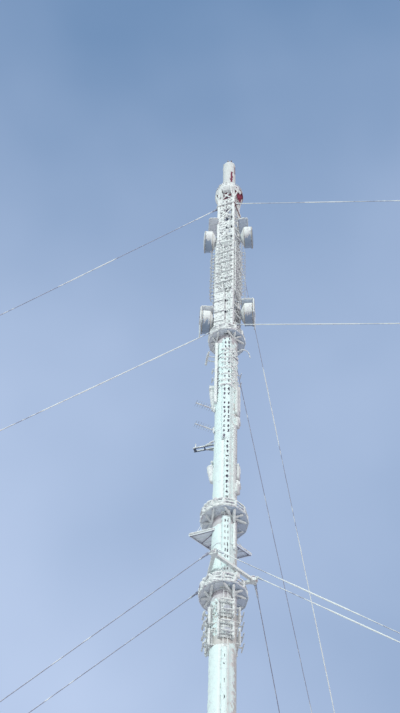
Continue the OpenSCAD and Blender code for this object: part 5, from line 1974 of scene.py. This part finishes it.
def cabinet_fittings():
    """Doors, hinges, handles and cable glands of the cabinets."""
    bm = bmesh.new()
    for azimuth, drop, tall, wide, deep in CABINETS:
        matrix = facing(azimuth, TUBE_TOP - drop)
        face = TUBE_R + deep
        add_block(bm, (wide - 0.012, 0.003, tall - 0.012), at(matrix, 0, face, tall / 2.0), 0.001)
        for share in (0.2, 0.8):
            hinge = bar_up(matrix, -wide / 2 + 0.004, face + 0.002, tall * share - 0.006,
                           tall * share + 0.006)
            add_rod(bm, *hinge, 0.003, 8)
        add_rod(bm, *bar_out(matrix, wide / 2 - 0.014, face, face + 0.006, tall * 0.5), 0.004, 8)
        for x in (-0.012, 0.012):
            add_rod(bm, *bar_up(matrix, x, TUBE_R + deep / 2.0, -0.030, 0.002), 0.0045, 8)
    piece("cabinet_fittings", bm, "painted_steel")


def cable_loops():
    """Short loops of cable beside the duct and two cables that run round the tube."""
    bm = bmesh.new()
    for drop in (0.79, 0.94, 1.10, 1.26):
        matrix = facing(204.0, TUBE_TOP - drop)

        def loop(k):
            turn = math.radians(110 - 22 * k)
            return matrix @ Vector((0.030 * math.cos(turn) - 0.006, TUBE_R + 0.012,
                                    0.050 * math.sin(turn)))

        for ends in steps(9, loop):
            add_rod(bm, *ends, 0.0046, 8)
    for z in (TUBE_TOP - 0.435, TUBE_TOP - 0.51):
        for ends in steps(15, lambda k: polar(TUBE_R + 0.010, 94 + 8 * k, z - 0.0012 * k)):
            add_rod(bm, *ends, 0.0058, 8)
    piece("cable_loops", bm, "cable")


def junction_box():
    """Box on the tube with a lid, two glands and two lid screws."""
    bm = bmesh.new()
    box = facing(250.0, TUBE_TOP - 1.085)
    add_block(bm, (0.074, 0.084, 0.050), at(box, 0, 0.176, 0), 0.003)
    add_block(bm, (0.080, 0.090, 0.005), at(box, 0, 0.177, 0.0265), 0.001)
    for x in (-0.020, 0.018):
        add_rod(bm, *bar_up(box, x, 0.190, -0.038, -0.024), 0.008, 12)
    for x in (-0.030, 0.030):
        add_rod(bm, *bar_out(box, x, 0.218, 0.2215, -0.002), 0.004, 8)
    piece("junction_box", bm, "frosted")


def flange_bolts():
    """Bolts round the flanges between the tube's sections."""
    bm = bmesh.new()
    for z in JOINT_HEIGHTS:
        for k in range(36):
            spot = polar(TUBE_R + 0.0045, 10.0 * k + 5.0, z)
            add_rod(bm, spot - lift(0.0135), spot + lift(0.0135), 0.0030, 6)
    piece("flange_bolts", bm, "plain_steel")


class MAST_OT_fittings(bpy.types.Operator):
    """Adds the small fittings on the upper tube and their rime"""

    bl_idname = "mast.fittings"
    bl_label = "Tube fittings"

    def execute(self, context):
        knots = random.Random(7)
        fittings_rime()
        frosted_trunk(knots)
        rime_lumps(knots)
        cabinet_fittings()
        cable_loops()
        junction_box()
        flange_bolts()
        return {"FINISHED"}


def beam_rime(bm, tip, other, near):
    """Rime on one beam of the torsion frame, deeper on its first half."""
    way = (other - tip).normalized()
    run = (other - tip).length
    for share, depth in ((0.0, 0.008), (0.5, 0.003)):
        first = tip + way * (0.03 + share * run)
        last = tip + way * min(run - 0.03, (share + 0.5) * run)
        into = max(-0.4, first.normalized().dot(wind_from()))
        sleeve(bm, first + lift(0.004), last + lift(0.004), 0.0172, (depth + 0.008 * into) * near,
               12, 0.016, wind_growth(0.12 + 0.3 * into, 0.035))


def tip_plates(plates, icy, azimuth):
    """Bolted plates and knots of rime at a tip of the torsion frame, and its lugs' plates."""
    matrix = facing(azimuth, TORSION_Z)
    for x in (-0.022, 0.022):
        for y in (TORSION_R - 0.020, TORSION_R + 0.020):
            add_rod(plates, *bar_up(matrix, x, y, -0.028, 0.028), 0.0042, 6)
    for z in (0.0245, -0.0245):
        add_block(plates, (0.070, 0.070, 0.005), at(matrix, 0, TORSION_R, z), 0.001)
    grow = wind_growth(0.35 if azimuth == 60 else 0.62)
    for x, y, z in ((-0.02, 0.02, 0.02), (0.02, -0.01, 0.02), (0.0, 0.03, -0.01)):
        ends = bar_up(matrix, x, TORSION_R + y, z, z + 0.022)
        sleeve(icy, *ends, 0.018, 0.016, 10, 0.008, grow)
    for side in (-1, 1):
        add_block(plates, (0.005, 0.030, 0.040),
                  at(facing(azimuth + 60, TORSION_Z), side * 0.030, TUBE_R + 0.014, 0), 0.001)


def warning_lamp(bm, spot, radius):
    """Lamp glass that is longer below than above."""
    part = bmesh.new()
    bmesh.ops.create_uvsphere(part, u_segments=20, v_segments=12, radius=radius)
    for vert in part.verts:
        vert.co.z *= 1.25 if vert.co.z < 0 else 0.7
    bmesh.ops.translate(part, vec=spot, verts=part.verts)
    join(bm, part)


class MAST_OT_torsion(bpy.types.Operator):
    """Adds rime, lamps and plates to the torsion frame"""

    bl_idname = "mast.torsion"
    bl_label = "Torsion frame"

    def execute(self, context):
        icy, plates, lamps = bmesh.new(), bmesh.new(), bmesh.new()
        tips = {azimuth: polar(TORSION_R, azimuth, TORSION_Z) for azimuth in TORSION_AZIMUTHS}
        for azimuth, tip in tips.items():
            beam_rime(icy, tip, tips[(azimuth + 120) % 360], 1.0 if azimuth == 180 else 0.55)
            tip_plates(plates, icy, azimuth)
        box = facing(112.0, LOWER_DECK + 0.215)
        add_block(plates, (0.050, 0.040, 0.062), at(box, 0, 0.185, 0.0), 0.003)
        add_rod(plates, *bar_out(box, 0, TUBE_R - 0.004, 0.170), 0.008, 10)
        warning_lamp(lamps, box @ Vector((-0.004, 0.196, -0.030)), 0.011)
        tip = facing(60.0, TORSION_Z)
        warning_lamp(lamps, tip @ Vector((0.030, TORSION_R + 0.020, -0.026)), 0.006)
        crust("torsion_frame", icy)
        piece("torsion_plates", plates, "frosted")
        piece("warning_lamps", lamps, "red_lamp")
        return {"FINISHED"}


def bearing_bolts():
    """Anchor bolts, socket bolts, stiffeners and gasket of the bearing."""
    bm = bmesh.new()
    for x in (-0.085, 0.085):
        for y in (-0.085, 0.085):
            add_studs(bm, Vector((x, y, 0.129)), (0.004, 0.0150, 20), (0.014, 0.0110, 6),
                      (0.026, 0.0060, 12))
    for k in range(16):
        add_studs(bm, polar(0.064, 22.5 * k, 0.159), (0.006, 0.0042, 6))
    for k in range(8):
        add_block(bm, (0.006, 0.022, 0.026), at(facing(45.0 * k + 22.5), 0, 0.084, 0.143), 0.001)
    add_ring(bm, Matrix.Translation(lift(0.1615)), 0.0495, 0.0035)
    piece("bearing_bolts", bm, "plain_steel")


def foot_gussets():
    """Tapered gussets up the foot cone and the ring under them."""
    bm = bmesh.new()

    def corner(x, y, z):
        high = 0.440 if z > 0 else 0.200
        cone = FOOT_R + (TUBE_R - FOOT_R) * (high - FOOT_LOW) / (0.45 - FOOT_LOW)
        return x * 0.005, cone + (0.007 if y > 0 else -0.004), high

    for k in range(12):
        add_wedge(bm, facing(30.0 * k + 15.0), corner)
    add_ring(bm, Matrix.Translation(lift(0.1985)), 0.0725, 0.0040)
    piece("foot_gussets", bm, "painted_steel")


def access_door():
    """Curved door in the tube's foot with its frame, hinges and handle."""
    bm = bmesh.new()
    matrix = facing(33.0)
    place = on_tube(matrix, TUBE_R + 0.0045)
    sheet(bm, spread(-0.040, 0.040, 0.005), spread(0.500, 0.690, 0.019), lambda x, z: True, place,
          0.006, 0.0)
    side, low, high = 0.045, 0.492, 0.698
    for x0, z0, x1, z1 in ((-side, low, -side, high), (side, low, side, high),
                           (-side, low, side, low), (-side, high, side, high)):

        def frame_bar(k):
            return place(x0 + (x1 - x0) * k / 8.0, z0 + (z1 - z0) * k / 8.0, 0.0)

        for ends in steps(8, frame_bar):
            add_rod(bm, *ends, 0.0035, 8)
    for z in (0.530, 0.660):
        add_rod(bm, place(-0.043, z - 0.009, 0.004), place(-0.043, z + 0.009, 0.004), 0.0035, 10)
    add_rod(bm, place(0.030, 0.592, 0.0), place(0.030, 0.592, 0.010), 0.0045, 12)
    add_block(bm, (0.020, 0.003, 0.005), at(matrix, 0.024, TUBE_R + 0.0125, 0.592), 0.001)
    piece("access_door", bm, "painted_steel")


def block_fittings():
    """Lifting eyes, form-tie plugs and earthing strap of the concrete block."""
    bm = bmesh.new()
    for x in (-0.20, 0.20):
        for y in (-0.20, 0.20):
            add_eye(bm, (x, y, EYE_Z), 0.014, 0.0032)
    for k in range(4):
        for x in (-0.15, 0.0, 0.15):
            add_rod(bm, *bar_out(facing(90.0 * k), x, 0.297, 0.3015, 0.030), 0.0060, 10)
    strap = [Vector(spot) for spot in (
        (0.030, -0.072, 0.190), (0.052, -0.112, 0.165), (0.060, -0.125, 0.1235),
        (0.066, -0.243, 0.1225), (0.066, -0.2445, 0.062), (0.068, -0.304, 0.0625),
        (0.068, -0.3045, 0.004),
    )]
    for first, second in zip(strap, strap[1:]):
        add_rod(bm, first, second, 0.0035, 8)
    for spot in strap[1:-1]:
        add_block(bm, (0.016, 0.010, 0.006), Matrix.Translation(spot), 0.001)
    piece("block_fittings", bm, "plain_steel")


def pour_lines():
    """Seams that the forms left round both steps of the block."""
    bm = bmesh.new()
    for half, z in ((0.2402, 0.090), (0.3002, 0.030)):
        for k in range(4):
            add_block(bm, (2 * half - 0.004, 0.0016, 0.002), at(facing(90.0 * k), 0, half, z),
                      0.0004)
    piece("pour_lines", bm, "concrete")


def anchor_fittings():
    """Bolts and gussets of the anchors' plates, and lifting eyes on their blocks."""
    bm, eyes = bmesh.new(), bmesh.new()
    for radius in (OUTER_R, INNER_R):
        for azimuth in GUY_AZIMUTHS:
            matrix = facing(azimuth)
            for x in (-0.095, 0.095):
                for y in (-0.125, 0.125):
                    add_studs(bm, matrix @ Vector((x, radius + y, ANCHOR_TOP)),
                              (0.003, 0.0140, 18), (0.013, 0.0105, 6), (0.024, 0.0058, 12))
            for y in (-0.070, 0.0, 0.070):
                for side in (-1, 1):
                    add_wedge(
                        bm, at(matrix, 0, radius + y, ANCHOR_TOP),
                        lambda x, y, z: (side * (0.030 if x > 0 and z < 0 else 0.004), y * 0.006,
                                         0.046 if z > 0 else 0.0),
                    )
            for x in (-0.15, 0.15):
                for y in (-0.21, 0.21):
                    add_eye(eyes, matrix @ Vector((x, radius + y, EYE_Z)), 0.013, 0.0030)
    piece("anchor_bolts", bm, "plain_steel")
    piece("lifting_eyes", eyes, "plain_steel")


class MAST_OT_footings(bpy.types.Operator):
    """Adds bolts, gussets, door, earthing strap and anchor hardware near the ground"""

    bl_idname = "mast.footings"
    bl_label = "Footings"

    def execute(self, context):
        bearing_bolts()
        foot_gussets()
        access_door()
        block_fittings()
        pour_lines()
        anchor_fittings()
        return {"FINISHED"}


def stage_floor(stage):
    """Round floor that belongs to the stage alone."""
    bm = bmesh.new()
    bmesh.ops.create_circle(bm, cap_ends=True, segments=96, radius=160.0)
    mesh = bpy.data.meshes.new("floor")
    bm.to_mesh(mesh)
    bm.free()
    floor = bpy.data.objects.new("floor", mesh)
    bpy.context.scene.collection.objects.link(floor)
    material, tree, shader = new_material("Floor")
    grain = speckle(tree, place_of(tree), 0.6)
    pale = tuple(stage.floor)
    colour = blend_colours(tree, grain, darker(pale, 0.96), pale)
    finish_surface(tree, shader, colour, 0.95, grain, 0.002)
    mesh.materials.append(material)


def stage_lamp(name, colour, strength, azimuth, elevation, soft):
    """Sun lamp from an azimuth and elevation."""
    light = bpy.data.lights.new(name, "SUN")
    light.energy = strength
    light.angle = math.radians(soft)
    light.color = colour
    lamp = bpy.data.objects.new(name, light)
    rise = math.radians(elevation)
    toward = polar(math.cos(rise), azimuth, math.sin(rise))
    lamp.rotation_euler = toward.to_track_quat("Z", "Y").to_euler()
    bpy.context.scene.collection.objects.link(lamp)


def stage_world(stage):
    """Even light from all sides, and a hazy backdrop that the camera and glossy rays see."""
    world = bpy.data.worlds.new("Studio")
    bpy.context.scene.world = world
    world.use_nodes = True
    tree = world.node_tree
    tree.nodes.clear()
    ray = plug(tree, "ShaderNodeLightPath").outputs
    clear = maths(tree, "MAXIMUM", ray["Is Glossy Ray"], ray["Is Transmission Ray"])
    seen = maths(tree, "MAXIMUM", ray["Is Camera Ray"], clear)
    way = plug(tree, "ShaderNodeTexCoord").outputs["Generated"]
    up = z_of(tree, way)
    across = times(tree, dot(tree, way, (2.05, 0.80, 0.0)), between(tree, up, 0.90, 0.70, False))
    rise = between(tree, up, 0.687, 0.94, False)
    rise = times(tree, times(tree, rise, rise), 0.66)
    haze = times(tree, speckle(tree, way, 5.0, 3.0, 0.5), 0.70)
    mask = maths(tree, "ADD", plus(tree, rise, across), less(tree, haze, 0.09), clamp=True)
    backdrop = blend_colours(tree, mask, tuple(stage.low), tuple(stage.high))
    even = plug(tree, "ShaderNodeBackground",
                {"Color": (1.0, 0.955, 1.03, 1.0), "Strength": stage.around})
    shown = plug(tree, "ShaderNodeBackground", {"Color": backdrop, "Strength": 1.0})
    both = plug(tree, "ShaderNodeMixShader", {0: seen, 1: even.outputs[0], 2: shown.outputs[0]})
    plug(tree, "ShaderNodeOutputWorld", {0: both.outputs[0]})


def stage_camera():
    """Camera low on the photo's side, looking up the mast and slightly rolled."""
    azimuth, elevation, roll = (math.radians(angle) for angle in (-21.24, 56.757, 2.337))
    ahead = Vector((
        math.sin(azimuth) * math.cos(elevation), math.cos(azimuth) * math.cos(elevation),
        math.sin(elevation),
    ))
    level = Vector((math.cos(azimuth), -math.sin(azimuth), 0.0))
    above = level.cross(ahead)
    side = level * math.cos(roll) + above * math.sin(roll)
    top = above * math.cos(roll) - level * math.sin(roll)
    lens = bpy.data.cameras.new("Camera")
    lens.lens = 76.03
    lens.sensor_width = 36.0
    lens.clip_start = 0.05
    lens.clip_end = 500.0
    camera = bpy.data.objects.new("Camera", lens)
    turn = Matrix((side, top, -ahead)).transposed().to_4x4()
    camera.matrix_world = Matrix.Translation((3.595, -10.227, 0.14)) @ turn
    bpy.context.scene.collection.objects.link(camera)
    bpy.context.scene.camera = camera


class MAST_OT_stage(bpy.types.Operator):
    """Adds the floor, the lamps, the backdrop and the camera"""

    bl_idname = "mast.stage"
    bl_label = "Stage"

    def execute(self, context):
        stage = context.scene.mast_stage
        context.scene.view_settings.view_transform = "Standard"
        stage_floor(stage)
        stage_lamp("Key lamp", (0.84, 1.0, 0.97), stage.key, 200.0, 26.0, 8.0)
        stage_lamp("Fill lamp", (1.0, 0.95, 0.92), stage.fill, 125.0, 4.0, 30.0)
        stage_world(stage)
        stage_camera()
        return {"FINISHED"}


class MAST_PT_panel(bpy.types.Panel):
    """Steps that dress the mast"""

    bl_idname = "MAST_PT_panel"
    bl_label = "Radio Mast"
    bl_space_type = "VIEW_3D"
    bl_region_type = "UI"
    bl_category = "Radio Mast"

    def draw(self, context):
        for step in STEPS:
            self.layout.operator(step.bl_idname)
        for group in SETTINGS:
            settings = getattr(context.scene, group)
            for name in settings.bl_rna.properties.keys():
                if name not in {"rna_type", "name"}:
                    self.layout.prop(settings, name)


SETTINGS = {
    "mast_rime": RimeSettings,
    "mast_paint": PaintSettings,
    "mast_stage": StageSettings,
}
STEPS = [
    MAST_OT_finishes, MAST_OT_tube_rime, MAST_OT_ladder, MAST_OT_lattice, MAST_OT_screens,
    MAST_OT_head, MAST_OT_drums, MAST_OT_decks, MAST_OT_ropes, MAST_OT_lower_aerial,
    MAST_OT_fittings, MAST_OT_torsion, MAST_OT_footings, MAST_OT_stage,
]


def register():
    for name, group in SETTINGS.items():
        bpy.utils.register_class(group)
        setattr(bpy.types.Scene, name, PointerProperty(type=group))
    for step in STEPS:
        bpy.utils.register_class(step)
    bpy.utils.register_class(MAST_PT_panel)


def unregister():
    bpy.utils.unregister_class(MAST_PT_panel)
    for step in reversed(STEPS):
        bpy.utils.unregister_class(step)
    for name, group in SETTINGS.items():
        delattr(bpy.types.Scene, name)
        bpy.utils.unregister_class(group)


def main():
    register()
    for step in STEPS:
        group, operator = step.bl_idname.split(".")
        getattr(getattr(bpy.ops, group), operator)()


if __name__ == "__main__":
    main()
